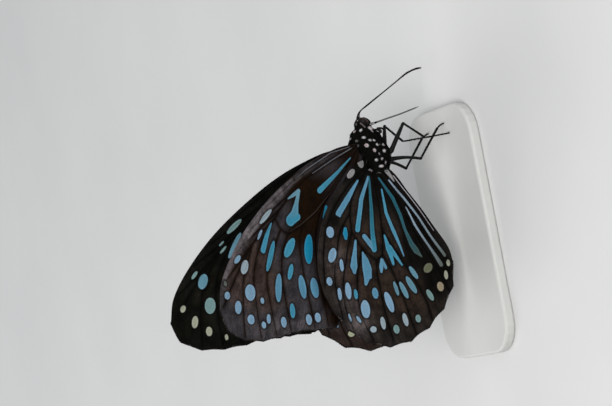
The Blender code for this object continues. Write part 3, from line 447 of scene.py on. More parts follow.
def mesh_piece(name, shape, materials, nodes=(), fields=None, second=None):
    """Write a shape into a mesh whose faces point outwards, and hang it on the frame.

    shape is points (mm), quads and triangles, fields are values kept at each point, and second marks
    the faces that take the second material.
    """
    points, quads, triangles = shape
    quads = np.array(quads, np.int32).reshape(-1, 4)
    triangles = np.array(triangles, np.int32).reshape(-1, 3)
    halves = np.vstack([quads[:, (0, 1, 2)], quads[:, (0, 2, 3)], triangles])
    a, b, c = (points[halves[:, k]] for k in range(3))
    if np.einsum("ij,ij->i", a - points[0], np.cross(b - points[0], c - points[0])).sum() < 0:
        quads, triangles = quads[:, ::-1], triangles[:, ::-1]
    corners = np.r_[quads.ravel(), triangles.ravel()]
    starts = np.r_[np.arange(len(quads)) * 4, len(quads) * 4 + np.arange(len(triangles)) * 3]
    mesh = bpy.data.meshes.new(name)
    mesh.vertices.add(len(points))
    mesh.vertices.foreach_set("co", ((points + THORAX_PLACE) * MM).astype(np.float32).ravel())
    mesh.loops.add(len(corners))
    mesh.loops.foreach_set("vertex_index", corners)
    mesh.polygons.add(len(starts))
    mesh.polygons.foreach_set("loop_start", starts)
    mesh.update(calc_edges=True)
    mesh.validate()
    for key, values in (fields or {}).items():
        values = np.asarray(values, np.float32)
        if key == "OFBake":
            layer = mesh.uv_layers.new(name=key)
            layer.data.foreach_set("uv", values[corners].ravel())
        elif values.ndim == 1:
            mesh.attributes.new(key, "FLOAT", "POINT").data.foreach_set("value", values)
        else:
            mesh.attributes.new(key, "FLOAT_VECTOR", "POINT").data.foreach_set("vector", values.ravel())
    for material in materials:
        mesh.materials.append(material)
    if second is not None:
        mesh.polygons.foreach_set("material_index", np.asarray(second, np.int32))
    mesh.shade_smooth()
    piece = bpy.data.objects.new(name, mesh)
    bpy.context.scene.collection.objects.link(piece)
    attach(piece, "root")
    if nodes:
        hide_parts(*nodes)


def closed_rings(rings):
    """Points and faces of rings of points, joined one to the next, with a middle point closing each end."""
    rows, sides = rings.shape[:2]
    points = np.vstack([rings.reshape(-1, 3), rings[0].mean(axis=0), rings[-1].mean(axis=0)])
    index = np.arange(rows * sides).reshape(rows, sides)
    turned = np.roll(index, -1, axis=1)
    quads = np.stack([index[:-1], turned[:-1], turned[1:], index[1:]], axis=-1).reshape(-1, 4)
    start = np.stack([turned[0], index[0], np.full(sides, rows * sides)], axis=-1)
    stop = np.stack([index[-1], turned[-1], np.full(sides, rows * sides + 1)], axis=-1)
    return points, quads, np.vstack([start, stop])


def swept(path, radii, sides, flat=1.0):
    """Round rings carried along a path: each lies square to the path, turned by the plane that the
    path lies in, with its own radius; flat narrows them across that plane."""
    ahead = unit(np.gradient(path, axis=0))
    across = np.linalg.svd(path - path.mean(axis=0))[2][-1]
    up = unit(np.cross(ahead, across))
    wide = np.cross(up, ahead)
    turn = np.linspace(0, 2 * math.pi, sides, endpoint=False)[None, :, None]
    ring = up[:, None] * np.cos(turn) + wide[:, None] * np.sin(turn) * flat
    return path[:, None] + ring * np.asarray(radii)[:, None, None]


def blades(root, lie, up, length, width, lift):
    """Thin closed lancets: a small triangle at the root, a wider one half way along, and a point.

    Each lies along its own direction, lifts off by its own share of its length and bends back down.
    """
    across = unit(np.cross(up, lie))
    length, width, lift = (np.broadcast_to(v, len(root))[:, None] for v in (length, width, lift))
    middle = root + lie * length * 0.5 + up * length * lift * BLADE_RISE
    tip = root + lie * length + up * length * lift
    thick = width * BLADE_THICK
    points = np.stack([
        root - across * width * 0.3 - up * thick, root + across * width * 0.3 - up * thick, root + up * thick,
        middle - across * width * 0.5, middle + across * width * 0.5, middle + up * thick, tip], axis=1)
    base = np.arange(len(root))[:, None, None] * BLADE_POINTS
    quads = (np.array(((0, 1, 4, 3), (1, 2, 5, 4), (2, 0, 3, 5)))[None] + base).reshape(-1, 4)
    triangles = (np.array(((0, 2, 1), (3, 4, 6), (4, 5, 6), (5, 3, 6)))[None] + base).reshape(-1, 3)
    return points.reshape(-1, 3), quads, triangles


def blade_fields(depth, bright, shade, place):
    """Fields of a set of lancets: each has one shade, and its points lie round its root's place on
    the unwrap. Depth in a white dot and brightness are given for each point."""
    patch = place[:, None] + BLADE_PATCH[None] * PATCH_SIZE
    shades = np.repeat(shade, BLADE_POINTS)
    return {"white": depth, "bright": bright, "shade": shades, "OFBake": patch.reshape(-1, 2)}


DENSE = curve(BODY, 900)


def section(x):
    """Height of the middle, half width and half height of the body at x."""
    return [np.interp(x, DENSE[:, 0], DENSE[:, k]) for k in (1, 2, 3)]


def around(turn, angle):
    """Smallest turn between two directions round the body, the same on both sides."""
    mirrored = np.arctan2(np.sin(turn), np.abs(np.cos(turn)))
    return mirrored - math.radians(angle)


def skin_point(x, turn, depth):
    """Point of the body's skin: an ellipse round the middle line, pinched at the abdomen's rings and
    swollen by the lumps."""
    middle, wide, high = section(x)
    ring = (WAIST - x) / (WAIST - BODY[0][0]) * ABDOMEN_RINGS
    inside = (ring > 0.3) & (ring < ABDOMEN_RINGS - 0.4)
    share = ring - np.floor(ring)
    groove = RING_GROOVE * np.exp(-(np.minimum(share, 1 - share) / RING_SHARE) ** 2)
    pinch = 1 - np.where(inside, groove - RING_FLARE * share, 0)
    swell = sum(height * np.exp(-(((x - lx) / reach) ** 2 + (around(turn, angle) * wide / reach) ** 2))
                for lx, angle, reach, height in LUMPS)
    y = ((wide - depth) * pinch + swell) * np.cos(turn)
    z = middle + ((high - depth) * pinch + swell) * np.sin(turn)
    return np.stack([x, y, z], axis=-1)


def skin_frame(x, turn, depth):
    """Point of the skin, its outward direction and its tailward direction."""
    point = skin_point(x, turn, depth)
    ahead = skin_point(x + 0.02, turn, depth) - skin_point(x - 0.02, turn, depth)
    across = skin_point(x, turn + 0.01, depth) - skin_point(x, turn - 0.01, depth)
    return point, unit(np.cross(across, ahead)), -unit(ahead)


def hip_run(x, turn, side, inside, outside):
    """First two corners of a limb, inside and outside the skin at x and a turn up from one side."""
    turn = turn if side > 0 else math.pi - turn
    root, up, _ = skin_frame(np.array([x]), np.array([turn]), COAT)
    return [root[0] - up[0] * inside, root[0] + up[0] * outside]


def on_side(corners, side):
    """Corners given for the right side, placed on one side."""
    return [(x, -side * y, z) for x, y, z in corners]


def dot_depth(along, across, long, broad):
    """How deep a place lies inside an oval dot, from its distances along and across it."""
    return (1 - np.hypot(along / long, across / broad)) * min(long, broad)


def with_dot(found, here, light):
    """Depth and brightness found so far, with one more dot taken in where it is the nearer."""
    depth, bright = found
    return np.maximum(depth, here), np.where(here > depth, light, bright)


def dot_fields(x, turn):
    """How deep a place lies inside the nearest white dot, in mm and below zero outside, and how
    bright that dot is. The stripe behind the eye is a straight stroke on the unrolled skin."""
    wide, high = section(x)[1:]
    radius = (wide + high) / 2
    found = np.full(np.shape(x), -9.0), np.zeros(np.shape(x))
    rings = [WAIST - (k + 0.55) * (WAIST - BODY[0][0]) / ABDOMEN_RINGS for k in range(ABDOMEN_RINGS - 1)]
    look = (*TAIL_DOTS["half"], TAIL_DOTS["bright"])
    tail = [(ring, angle, *look) for ring in rings for angle in TAIL_DOTS["angles"]]
    for dx, angle, long, broad, light in DOTS + tuple(tail):
        found = with_dot(found, dot_depth(x - dx, around(turn, angle) * radius, long, broad), light)
    (ax, a_angle), (bx, b_angle) = EYE_STRIPE["ahead"], EYE_STRIPE["behind"]
    span = np.array((bx - ax, math.radians(b_angle - a_angle) * 1.5))
    to = np.stack([x - ax, around(turn, a_angle) * radius], axis=-1)
    along = np.clip(to @ span / (span @ span), 0, 1)
    here = EYE_STRIPE["half"] - np.linalg.norm(to - along[..., None] * span, axis=-1)
    return with_dot(found, here, EYE_STRIPE["bright"])


def skin_place(points):
    """Place along and round the body of any points near the skin."""
    middle, wide, high = section(points[..., 0])
    return points[..., 0], np.arctan2((points[..., 2] - middle) / high, points[..., 1] / wide)


def unwrap(x, turn):
    """Place on the skin's own unwrap: along the body, and round it from the belly."""
    along = (x - BODY[0][0]) / (BODY[-1][0] - BODY[0][0])
    round_body = (turn + math.pi / 2) / (2 * math.pi) % 1.0
    return 0.03 + 0.94 * np.stack([along, round_body], axis=-1)


def build_skin(material):
    """One closed skin from tail to brow, without seams, under the coat."""
    x = np.linspace(BODY[0][0], BODY[-1][0], SKIN_GRID[0])
    turn = np.linspace(-math.pi / 2, 1.5 * math.pi, SKIN_GRID[1], endpoint=False)
    grid_x, grid_turn = np.meshgrid(x, turn, indexing="ij")
    shape = closed_rings(skin_point(grid_x, grid_turn, COAT))
    depth, bright = dot_fields(grid_x, grid_turn)
    fields = {"white": np.r_[depth.ravel(), -1, -1], "bright": np.r_[bright.ravel(), 0, 0],
              "shade": np.full(len(shape[0]), 0.3)}
    mesh_piece("body_skin", shape, [material], ("head", "thorax", "abdomen"), fields)


def build_coat(name, first, last, count, length, width, lift, seed, material):
    """Flat-lying lancets over one stretch of the skin, rooted in it and pointing to the tail.

    Roots are drawn evenly by area: more where the body is wide. White dots colour whole lancets.
    """
    draw = np.random.default_rng(seed)
    trial = draw.uniform(first, last, count * 3)
    size = section(trial)[1]
    x = trial[draw.uniform(0, size.max(), len(trial)) < size][:count]
    turn = draw.uniform(-math.pi / 2, 1.5 * math.pi, len(x))
    root, up, lie = skin_frame(x, turn, COAT)
    keep = eye_reach(root) > EYE_CLEARANCE
    root, up, lie, x, turn = root[keep], up[keep], lie[keep], x[keep], turn[keep]
    across = np.cross(up, lie)
    lie = unit(lie + across * draw.normal(0, COAT_SPREAD, len(x))[:, None])
    long = length * draw.uniform(0.75, 1.25, len(x))
    broad = width * draw.uniform(0.8, 1.2, len(x))
    high = lift * draw.uniform(0.6, 1.5, len(x))
    shape = blades(root - up * ROOT_DEPTH, lie, up, long, broad, high)
    fields = blade_fields(*dot_fields(*skin_place(shape[0])), draw.uniform(0, 1, len(x)), unwrap(x, turn))
    mesh_piece(name, shape, [material], (), fields)


def segment_places(points, line):
    """For each point and each span of a line: how far along the span its nearest place is, and how
    far off that place is."""
    line = np.array(line, float)
    a, ab = line[:-1], np.diff(line, axis=0)
    to = points[:, None] - a[None]
    t = np.clip((to * ab).sum(axis=-1) / np.maximum((ab * ab).sum(axis=-1), 1e-12), 0, 1)
    return t, np.linalg.norm(to - t[..., None] * ab, axis=-1)


def line_distance(points, lines):
    """Shortest distance from each point to any of the lines."""
    best = np.full(len(points), 1e9)
    for line in lines:
        best = np.minimum(best, segment_places(points, line)[1].min(axis=1))
    return best


def stroke_depth(points, stroke):
    """How deep each point lies inside a stroke whose width changes from point to point, and how far
    along the stroke it is."""
    stroke = np.array(stroke, float)
    t, off = segment_places(points, stroke[:, :2])
    depth = (stroke[:-1, 2] + t * np.diff(stroke[:, 2])) / 2 - off
    best = depth.argmax(axis=1)[:, None]
    share = (best + np.take_along_axis(t, best, axis=1)) / (len(stroke) - 1)
    return np.take_along_axis(depth, best, axis=1)[:, 0], share[:, 0]


def spot_depth(points, s, r, length, width, turn):
    """How deep each point lies inside an ellipse: with k the distance from its middle counted in half
    sizes, and g the same counted in squared half sizes, the depth is about k (1 - k) / g."""
    way = np.array((-math.cos(math.radians(turn)), math.sin(math.radians(turn))))
    to = points - (s, r)
    along, across = to @ way, to @ (-way[1], way[0])
    k = np.hypot(along / (length / 2), across / (width / 2))
    g = np.hypot(along / (length / 2) ** 2, across / (width / 2) ** 2)
    return np.where(k < 1e-6, width / 2, k * (1 - k) / np.maximum(g, 1e-9))


def mark_fields(points, streaks, spots):
    """Depth inside the nearest mark of a wing face, and that mark's tint.

    A mark with two tints passes from the first to the second along its length."""
    depth = np.full(len(points), -9.0)
    tint = np.zeros((len(points), 3))
    for mark in streaks + spots:
        if isinstance(mark[1], tuple):
            here, share = stroke_depth(points, mark[1:])
        else:
            here, share = spot_depth(points, *mark[1:]), np.zeros(len(points))
        first, last = (np.array(TINTS[part]) for part in (mark[0].split()[0], mark[0].split()[-1]))
        nearer = here > depth
        depth = np.where(nearer, here, depth)
        tint[nearer] = (first + (last - first) * share[:, None] ** TINT_PASSING)[nearer]
    return depth, tint


def soft_patches(points, patches):
    """Sum of round soft patches, at most one."""
    total = sum(strength * np.exp(-((points - (s, r)) ** 2).sum(axis=1) / reach ** 2)
                for s, r, reach, strength in patches)
    return np.clip(total, 0, 1)


def edge_outward(line):
    """Direction square to an edge at each of its points, away from the middle of the edge."""
    along = unit(np.gradient(line, axis=0))
    outward = np.c_[along[:, 1], -along[:, 0]]
    return outward * np.sign(((line - line.mean(axis=0)) * outward).sum())


def outer_edge(wing, count):
    """Outer edge of a wing with a small point at each vein's end and a shallow bay between."""
    line = curve(wing["termen"], count)
    run = np.linspace(0, 1, count)
    fade = np.clip(run * (1 - run) * 12, 0, 1)
    wave = wing["tooth"] * (1 - 2 * np.abs(np.sin(math.pi * wing["teeth"] * run))) * fade
    return line + edge_outward(line) * wave[:, None]


def wing_plan(wing):
    """Blend of a wing's four edges: leading to inner edge across, root to outer edge along.

    Each point is the sum of both straight blends less the blend of the four corners.
    """
    across, along = wing["size"]
    lead, trail = curve(wing["costa"], along)[None], curve(wing["inner"], along)[None]
    root = np.linspace(*np.array(wing["root"]), across)[:, None]
    tip = outer_edge(wing, across)[:, None]
    a = np.linspace(0, 1, across)[:, None, None]
    b = np.linspace(0, 1, along)[None, :, None]
    corners = (1 - a) * ((1 - b) * root[0] + b * tip[0]) + a * ((1 - b) * root[-1] + b * tip[-1])
    return (1 - a) * lead + a * trail + (1 - b) * root + b * tip - corners


def wing_place(wing, s, r, side):
    """Middle of a wing's sheet and its outward direction: an arc that leans out more with height,
    tucked in near the hinge and sunk into the thorax below it."""
    x0, y0, z0 = wing["hinge"]
    start, curl = math.radians(wing["lean"]), math.radians(wing["curl"])
    lean = start + curl * r
    y = y0 + (math.cos(start) - np.cos(lean)) / curl
    z = z0 + (np.sin(lean) - math.sin(start)) / curl
    near = s * s + r * r
    y = y - wing["tuck"] * np.exp(-near / wing["tuck_reach"] ** 2)
    y = y - ROOT_SINK * np.exp(-near / SINK_REACH ** 2) * ease(0.9 - r)
    out = np.stack([np.zeros_like(s), side * np.cos(lean), -np.sin(lean)], axis=-1)
    return np.stack([x0 + s, side * y, z], axis=-1), out


def build_wing(label, wing, side, name, under, upper, materials):
    """A thin sheet with both faces, closed along its edge: veins stand up on both faces, and the
    membrane between them bows a little to one side and ripples."""
    plan = wing_plan(wing)
    across, along = plan.shape[:2]
    flat = plan.reshape(-1, 2)
    s, r = flat[:, 0], flat[:, 1]
    veins = [curve(v, 14) for v in wing["veins"]]
    vein = line_distance(flat, veins)
    edge = line_distance(flat, [plan[0, ::3], plan[::2, -1], plan[-1, ::3], plan[::3, 0]])
    middle, out = wing_place(wing, s, r, side)
    bow = PLEAT * (1 - np.exp(-(vein / 1.1) ** 2)) * ease(edge / 1.5)
    ripple = RIPPLE * np.sin(s * 0.62 + r * 0.23) * np.sin(r * 0.41 - s * 0.17) * ease(np.hypot(s, r) / 9)
    half = WING_HALF * (0.5 + ease(1 - np.hypot(s, r) / 12)) + VEIN_HEIGHT * np.exp(-(vein / VEIN_REACH) ** 2)
    half = half * ease(edge / 0.22) + 0.012
    outer = middle + out * (bow + ripple + half)[:, None]
    inner = middle + out * (bow + ripple - half)[:, None]
    index = np.arange(across * along).reshape(across, along)
    rim = np.ones_like(index, bool)
    rim[1:-1, 1:-1] = False
    back = np.where(rim, index, 0)
    back[~rim] = across * along + np.arange((~rim).sum())
    loose = ~rim.ravel()
    points = np.vstack([outer, inner[loose]])
    points[index[rim]] = (outer[rim.ravel()] + inner[rim.ravel()]) / 2
    faces = [np.stack([grid[:-1, :-1], grid[1:, :-1], grid[1:, 1:], grid[:-1, 1:]], axis=-1).reshape(-1, 4)
             for grid in (index, back)]
    quads = np.vstack([faces[0], faces[1][:, ::-1]])
    lead = line_distance(flat, [plan[0, ::3]])
    fields = {}
    for key, values in wing_fields(label, flat, vein, lead, under, upper).items():
        fields[key] = np.concatenate([values[0], values[1][loose]])
    second = np.r_[np.zeros(len(faces[0])), np.ones(len(faces[1]))]
    node = label + "_" + name
    mesh_piece(node + "_scaled", (points, quads, []), materials, (node,), fields, second)
    return plan


def wing_fields(label, flat, vein, lead, under, upper):
    """What the finish of a wing reads, for its under face and its upper face.

    plan is the place on the wing, ray the share across it and the share out from the root, for
    streaks that fan out, and tone holds how warm the ground is, how dark it is (its own dark ground
    and painted shadow) and how strong the painted sheen is.
    """
    warm, dark_and_shade, painted_sheen = (soft_patches(flat, patches) for patches in TONES[label])
    # The forewing gets a band of painted sheen behind its leading edge, as if the rounded edge caught the
    # light
    if label == "forewing":
        height, *rows = np.array(FORE_SHEEN).T
        width, strength, rim = (np.interp(flat[:, 1], height, row) for row in rows)
        painted_sheen = painted_sheen + strength * ease((width - lead) / 0.7 + 0.5) * ease((lead - rim) / 0.2 + 0.5)
    plan = np.c_[flat, np.zeros(len(flat))]
    across, along = WINGS[label]["size"]
    share = np.stack(np.meshgrid(np.linspace(0, 1, across), np.linspace(0, 1, along), indexing="ij"), axis=-1)
    ray = np.c_[share.reshape(-1, 2) * (60.0, 5.0), np.zeros(len(flat))]
    marks = [mark_fields(flat, streaks, spots) for streaks, spots in (under, upper)]
    return {
        "mark": [depth for depth, _ in marks], "tint": [tint for _, tint in marks], "vein": (vein, vein),
        "plan": (plan, plan + (0, 0, 5.0)), "ray": (ray, ray + (0, 0, 7.0)),
        "tone": (np.c_[warm, dark_and_shade, painted_sheen], np.c_[warm * 0.5, dark_and_shade, painted_sheen * 0.2]),
    }


def build_root_tuft(label, wing, plan, side, name, seed, material):
    """Lancets over the hinge of a wing, rooted in its outer face and lying outwards along its rays."""
    draw = np.random.default_rng(seed)
    share, dots = ROOT_TUFTS[label]
    count = TUFT_COUNT
    across, along = plan.shape[:2]
    a = draw.integers(2, across - 2, count)
    reach = share * along * (0.4 + 0.6 * ease(a / across * 2.5))
    b = (draw.uniform(0.0, 1.0, count) * draw.uniform(0.75, 1.1, count) * reach).astype(int)
    flat, ahead = plan[a, b], plan[a, b + 1]
    root, out = wing_place(wing, flat[:, 0], flat[:, 1], side)
    way = unit(wing_place(wing, ahead[:, 0], ahead[:, 1], side)[0] - root)
    lie = unit(way + np.cross(out, way) * draw.normal(0, 0.25, count)[:, None])
    long = draw.uniform(0.35, 0.6, count)
    shape = blades(root + out * 0.05, lie, out, long, 0.11, draw.uniform(0.12, 0.35, count))
    s, r = shape[0][:, 0] - wing["hinge"][0], shape[0][:, 2] - wing["hinge"][2]
    found = np.full(len(s), -9.0), np.zeros(len(s))
    for ds, dr, long, broad, light in dots:
        found = with_dot(found, dot_depth(s - ds, r - dr, long, broad), light)
    place = np.stack([0.04 + 0.92 * a / across, 0.04 + 0.92 * b / (1.2 * share * along)], axis=-1)
    fields = blade_fields(*found, draw.uniform(0, 1, count), place)
    mesh_piece(f"{label}_{name}_root_coat", shape, [material], (), fields)


def build_fringe(label, wing, side, name, seed, material):
    """Row of short scales along the outer edge, dark with a few paler ones in each bay."""
    draw = np.random.default_rng(seed)
    count = FRINGE_COUNT
    line = outer_edge(wing, count)
    outward = edge_outward(line)
    root, up = wing_place(wing, *(line - outward * 0.12).T, side)
    way = wing_place(wing, *(line + outward).T, side)[0] - wing_place(wing, *line.T, side)[0]
    lie = unit(way + up * draw.normal(0, 0.08, count)[:, None])
    bay = np.abs(np.sin(math.pi * wing["teeth"] * np.linspace(0, 1, count)))
    white = np.where((bay > 0.93) & (draw.uniform(0, 1, count) < 0.3), 1.0, -1.0)
    shape = blades(root, lie, up, draw.uniform(0.20, 0.32, count), 0.13, 0.02)
    place = np.stack([np.linspace(0.02, 0.98, count), np.full(count, 0.5)], axis=-1)
    bright = np.full(len(shape[0]), 0.15)
    fields = blade_fields(np.repeat(white, BLADE_POINTS), bright, draw.uniform(0, 1, count), place)
    mesh_piece(f"{label}_{name}_fringe", shape, [material], (), fields)


def eye_turned(points, way):
    """Points turned by the eye's lean round the across axis."""
    lean = math.radians(EYE_LEAN) * way
    x, y, z = points[..., 0], points[..., 1], points[..., 2]
    ahead, high = x * math.cos(lean) + z * math.sin(lean), z * math.cos(lean) - x * math.sin(lean)
    return np.stack([ahead, y, high], axis=-1)


def eye_reach(points):
    """Distance from the nearer eye's centre as a share of its own surface; 1 is on the eye."""
    side = np.where(points[..., 1:2] < 0, -1.0, 1.0)
    near = points * np.concatenate([side ** 2, side, side ** 2], axis=-1)
    return np.linalg.norm(eye_turned(near - EYE_CENTRE, -1) / EYE_HALF, axis=-1)


def build_eye(side, name, material):
    """Full ellipsoid of the eye, set into the side of the head, its long axis leaning ahead at the top."""
    polar = np.linspace(0.04, math.pi - 0.04, 60)[:, None]
    turn = np.linspace(0, 2 * math.pi, 96, endpoint=False)[None]
    level = np.cos(polar) * np.ones_like(turn)
    ball = np.stack([np.sin(polar) * np.cos(turn), level, np.sin(polar) * np.sin(turn)], axis=-1)
    shape = closed_rings((eye_turned(ball * EYE_HALF, 1) + EYE_CENTRE) * (1, side, 1))
    node = "eye_" + name
    mesh_piece(node + "_facets", shape, [material], (node,))


def leg_corners(leg, side):
    """Corners of a walking leg from inside its hip to the plate."""
    x, angle = leg["root"]
    ahead = leg["left_ahead"] if side > 0 else 0.0
    placed = [(cx + ahead, cy, cz) for cx, cy, cz in on_side(leg["corners"], side)]
    foot = (leg["foot"][0] + ahead, -side * leg["foot"][1])
    sole = [(*foot, PLATE_TOP + ANKLE_HEIGHT), (*foot, PLATE_TOP + SOLE_HEIGHT)]
    return hip_run(x, math.radians(angle), side, HIP_INSIDE, HIP_OUTSIDE) + placed + sole


def build_leg(label, leg, side, name, seed, material):
    """Walking leg: hip, thigh, shin and a foot of five joints, with spines and two claws.

    Its radius runs straight between stations; each foot joint is a bell-shaped waist with a bell-shaped
    swelling before it. Spines stand at random places and lean to the foot.
    """
    draw = np.random.default_rng(seed)
    corners = leg_corners(leg, side)
    path, at = bent_path(corners, LEG_BEND, 300)
    knots = np.r_[0, np.cumsum(np.linalg.norm(np.diff(np.array(corners, float), axis=0), axis=1))]
    hip, knee, ankle, end = knots[1], knots[2], knots[3], knots[-1]
    path[:, 0] += leg["bow"] * np.sin(math.pi * np.clip((at - hip) / (knee - hip), 0, 1))
    root_r, thigh_r, knee_r, shin_r, foot_r = leg["radii"]
    stations = (0, hip, hip + 0.35, hip + 0.7, (hip + knee) / 2, knee - 0.35, knee, knee + 0.35,
                (knee + ankle) / 2, ankle - 0.15, ankle + 0.1, end - 0.2, end)
    radii = (root_r, root_r, root_r, root_r * 0.9, thigh_r, knee_r, knee_r * 1.05, shin_r * 0.92,
             shin_r, shin_r * 1.08, foot_r, foot_r * 0.9, foot_r * 0.55)
    radius = np.interp(at, stations, radii)
    joints = ankle + (end - ankle) * np.array(FOOT_JOINTS)
    waist, reach = JOINT_WAIST
    radius -= sum(waist * np.exp(-((at - joint) / reach) ** 2) for joint in joints)
    swell, reach, before = JOINT_SWELL
    radius += sum(swell * np.exp(-((at - joint + before) / reach) ** 2) for joint in joints[1:])
    node = f"leg_{label}_{name}"
    mesh_piece(node + "_jointed", closed_rings(swept(path, radius, 20)), [material], (node,))

    count = SPINE_COUNT
    place = draw.uniform(hip + 0.3, end - 0.1, count)
    centre = np.stack([np.interp(place, at, path[:, k]) for k in range(3)], axis=1)
    ahead = unit(np.stack([np.interp(place, at, np.gradient(path[:, k])) for k in range(3)], axis=1))
    out = unit(np.cross(ahead, draw.normal(0, 1, (count, 3))))
    thick = np.interp(place, at, radius)[:, None]
    coarse = place > knee
    lie, up = leaning(ahead, out, np.where(coarse, 0.75, 0.35)[:, None])
    size = np.where(coarse, draw.uniform(0.16, 0.34, count), draw.uniform(0.12, 0.24, count))
    spines = blades(centre + out * thick * 0.9, lie, up, size, np.where(coarse, 0.055, 0.05), 0.0)
    hooks = claws(path[-1], unit(path[-1] - path[-30]), foot_r)
    joined = [np.vstack([spines[0], hooks[0]])]
    joined += [np.vstack([spines[k], hooks[k] + len(spines[0])]) for k in (1, 2)]
    mesh_piece(node + "_spines", joined, [material])


def leaning(ahead, out, lean):
    """Direction of hairs that point along a limb and lean out, and the outward direction square to it."""
    lie = unit(ahead + out * lean)
    return lie, unit(out - lie * (out * lie).sum(axis=1, keepdims=True))


def claws(tip, down, radius):
    """Two small hooks at the end of a foot that reach ahead of it on the plate."""
    spread = np.array(((1.0, 0.45, 0.0), (1.0, -0.45, 0.0)))
    root = tip[None] + np.array(((0, 0.06, 0.05), (0, -0.06, 0.05))) - down * 0.02
    return blades(root, unit(spread), np.tile((0.0, 0.0, 1.0), (2, 1)), 0.42, radius * 0.6, 0.06)


def build_fore_leg(side, name, material):
    """Short brush leg folded under the front of the thorax."""
    x, angle = FORE_LEG_ROOT
    corners = hip_run(x, math.radians(angle), side, 0.3, 0.5) + on_side(FORE_LEG, side)
    path, at = bent_path(corners, 0.3, 90)
    radius = np.interp(at / at[-1], *np.array(FORE_LEG_RADII).T)
    node = "leg_fore_" + name
    mesh_piece(node + "_folded", closed_rings(swept(path, radius, 16)), [material], (node,))


def build_antenna(side, name, material):
    """Feeler: a knob at the root, a shaft of many short joints and a slim club."""
    x, y = ANTENNA_ROOT
    turn = math.acos(y / float(section(x)[1]))
    path = curve(hip_run(x, turn, side, 0.2, 0.25) + list(ANTENNAE[side]), 420)
    share = np.linspace(0, 1, len(path))
    radius = np.interp(share, *np.array(ANTENNA_RADII).T)
    radius = radius * (1 - 0.10 * np.abs(np.cos(math.pi * share * ANTENNA_JOINTS)) ** 8)
    node = "antenna_" + name
    mesh_piece(node + "_jointed", closed_rings(swept(path, radius, 16)), [material], (node,))


def build_palp(side, name, seed, material):
    """Short upturned palp beside the tongue, with its own lancets."""
    draw = np.random.default_rng(seed)
    x, angle = PALP_ROOT
    path = curve(hip_run(x, math.radians(angle), side, 0.2, 0.25) + on_side(PALP, side), 80)
    last = len(path) - 1
    share = np.linspace(0, 1, len(path))
    radius = np.interp(share, *np.array(PALP_RADII).T)
    core = closed_rings(swept(path, radius, 20))
    node = "palp_" + name
    even = np.ones(len(core[0]))
    fields = {"white": even * -1.0, "bright": even * 0.0, "shade": even * 0.3}
    mesh_piece(node + "_core", core, [material], (node,), fields)
    count = PALP_COUNT
    place = draw.uniform(0.05, 0.95, count) * last
    row = place.astype(int)
    ahead = unit(np.gradient(path, axis=0))[row]
    out = unit(np.cross(ahead, draw.normal(0, 1, (count, 3))))
    lie, up = leaning(ahead, out, 0.25)
    root = path[row] + out * radius[row, None] * 0.9
    coat = blades(root, lie, up, draw.uniform(0.14, 0.22, count), 0.05, 0.05)
    white = np.where((out[:, 1] * side > 0.45) & (place < 45), 1.0, -1.0)
    spot = np.stack([place / last * 0.9 + 0.05, np.arctan2(out[:, 2], out[:, 1]) / 7 + 0.5], axis=-1)
    bright = np.full(len(coat[0]), 0.7)
    fields = blade_fields(np.repeat(white, BLADE_POINTS), bright, draw.uniform(0, 1, count), spot)
    mesh_piece(node + "_coat", coat, [material], (), fields)


def build_tongue(material):
    """Tongue: two tubes side by side read as one, grooved down the middle and finely ringed."""
    sides, ripples = 24, 420
    path = curve(TONGUE, 420)
    share = np.linspace(0, 1, len(path))
    radius = np.interp(share, *np.array(TONGUE_RADII).T)
    rings = swept(path, radius * (1 + 0.03 * np.sin(share * ripples)), sides)
    turn = np.linspace(0, 2 * math.pi, sides, endpoint=False)
    groove = 1 - 0.22 * np.exp(-((np.abs(np.cos(turn)) - 1) / 0.03) ** 2)
    rings = path[:, None] + (rings - path[:, None]) * groove[None, :, None]
    stripe = np.r_[np.tile(np.abs(np.sin(turn)), len(path)), 0, 0]
    node = "proboscis"
    mesh_piece(node + "_grooved", closed_rings(rings), [material], (node,), {"stripe": stripe})


def feed(tree, socket, value):
    """Give a socket another node's output, or a value of its own; a colour gets its fourth part."""
    if isinstance(value, bpy.types.NodeSocket):
        tree.links.new(value, socket)
    elif socket.type == "RGBA":
        socket.default_value = (*value, 1.0)
    else:
        socket.default_value = value


def add(tree, kind, inputs=None, **settings):
    """One shader node. inputs gives its sockets a value or another node's output."""
    made = tree.nodes.new("ShaderNode" + kind)
    for name, value in settings.items():
        setattr(made, name, value)
    for name, value in (inputs or {}).items():
        feed(tree, made.inputs[name], value)
    return made


def mixed(tree, factor, first, second):
    """Colour between first and second."""
    return add(tree, "Mix", {0: factor, 6: first, 7: second}, data_type="RGBA").outputs[2]


def worked(tree, operation, first, second):
    """One sum, product or other reckoning."""
    return add(tree, "Math", {0: first, 1: second}, operation=operation).outputs[0]


def times(tree, first, second):
    """Product of two values."""
    return worked(tree, "MULTIPLY", first, second)


def plus(tree, first, second):
    """Sum of two values."""
    return worked(tree, "ADD", first, second)


def stretched(tree, vector, stretch):
    """Place stretched along each axis."""
    return add(tree, "VectorMath", {0: vector, 1: stretch}, operation="MULTIPLY").outputs[0]


def brighter(tree, colour, factor):
    """Colour made brighter or darker by a factor."""
    return add(tree, "VectorMath", {0: colour, 3: factor}, operation="SCALE").outputs[0]


def toned(colour, factor):
    """A fixed colour made brighter or darker."""
    return tuple(part * factor for part in colour)


def ramp(tree, value, low, high, to_low=0.0, to_high=1.0):
    """Smooth step of a value between two limits."""
    return add(tree, "MapRange", {"Value": value, 1: low, 2: high, 3: to_low, 4: to_high},
               interpolation_type="SMOOTHSTEP").outputs[0]


def rough_from(tree, value, reach, least):
    """Roughness that rises from its least with a value."""
    return plus(tree, times(tree, value, reach), least)


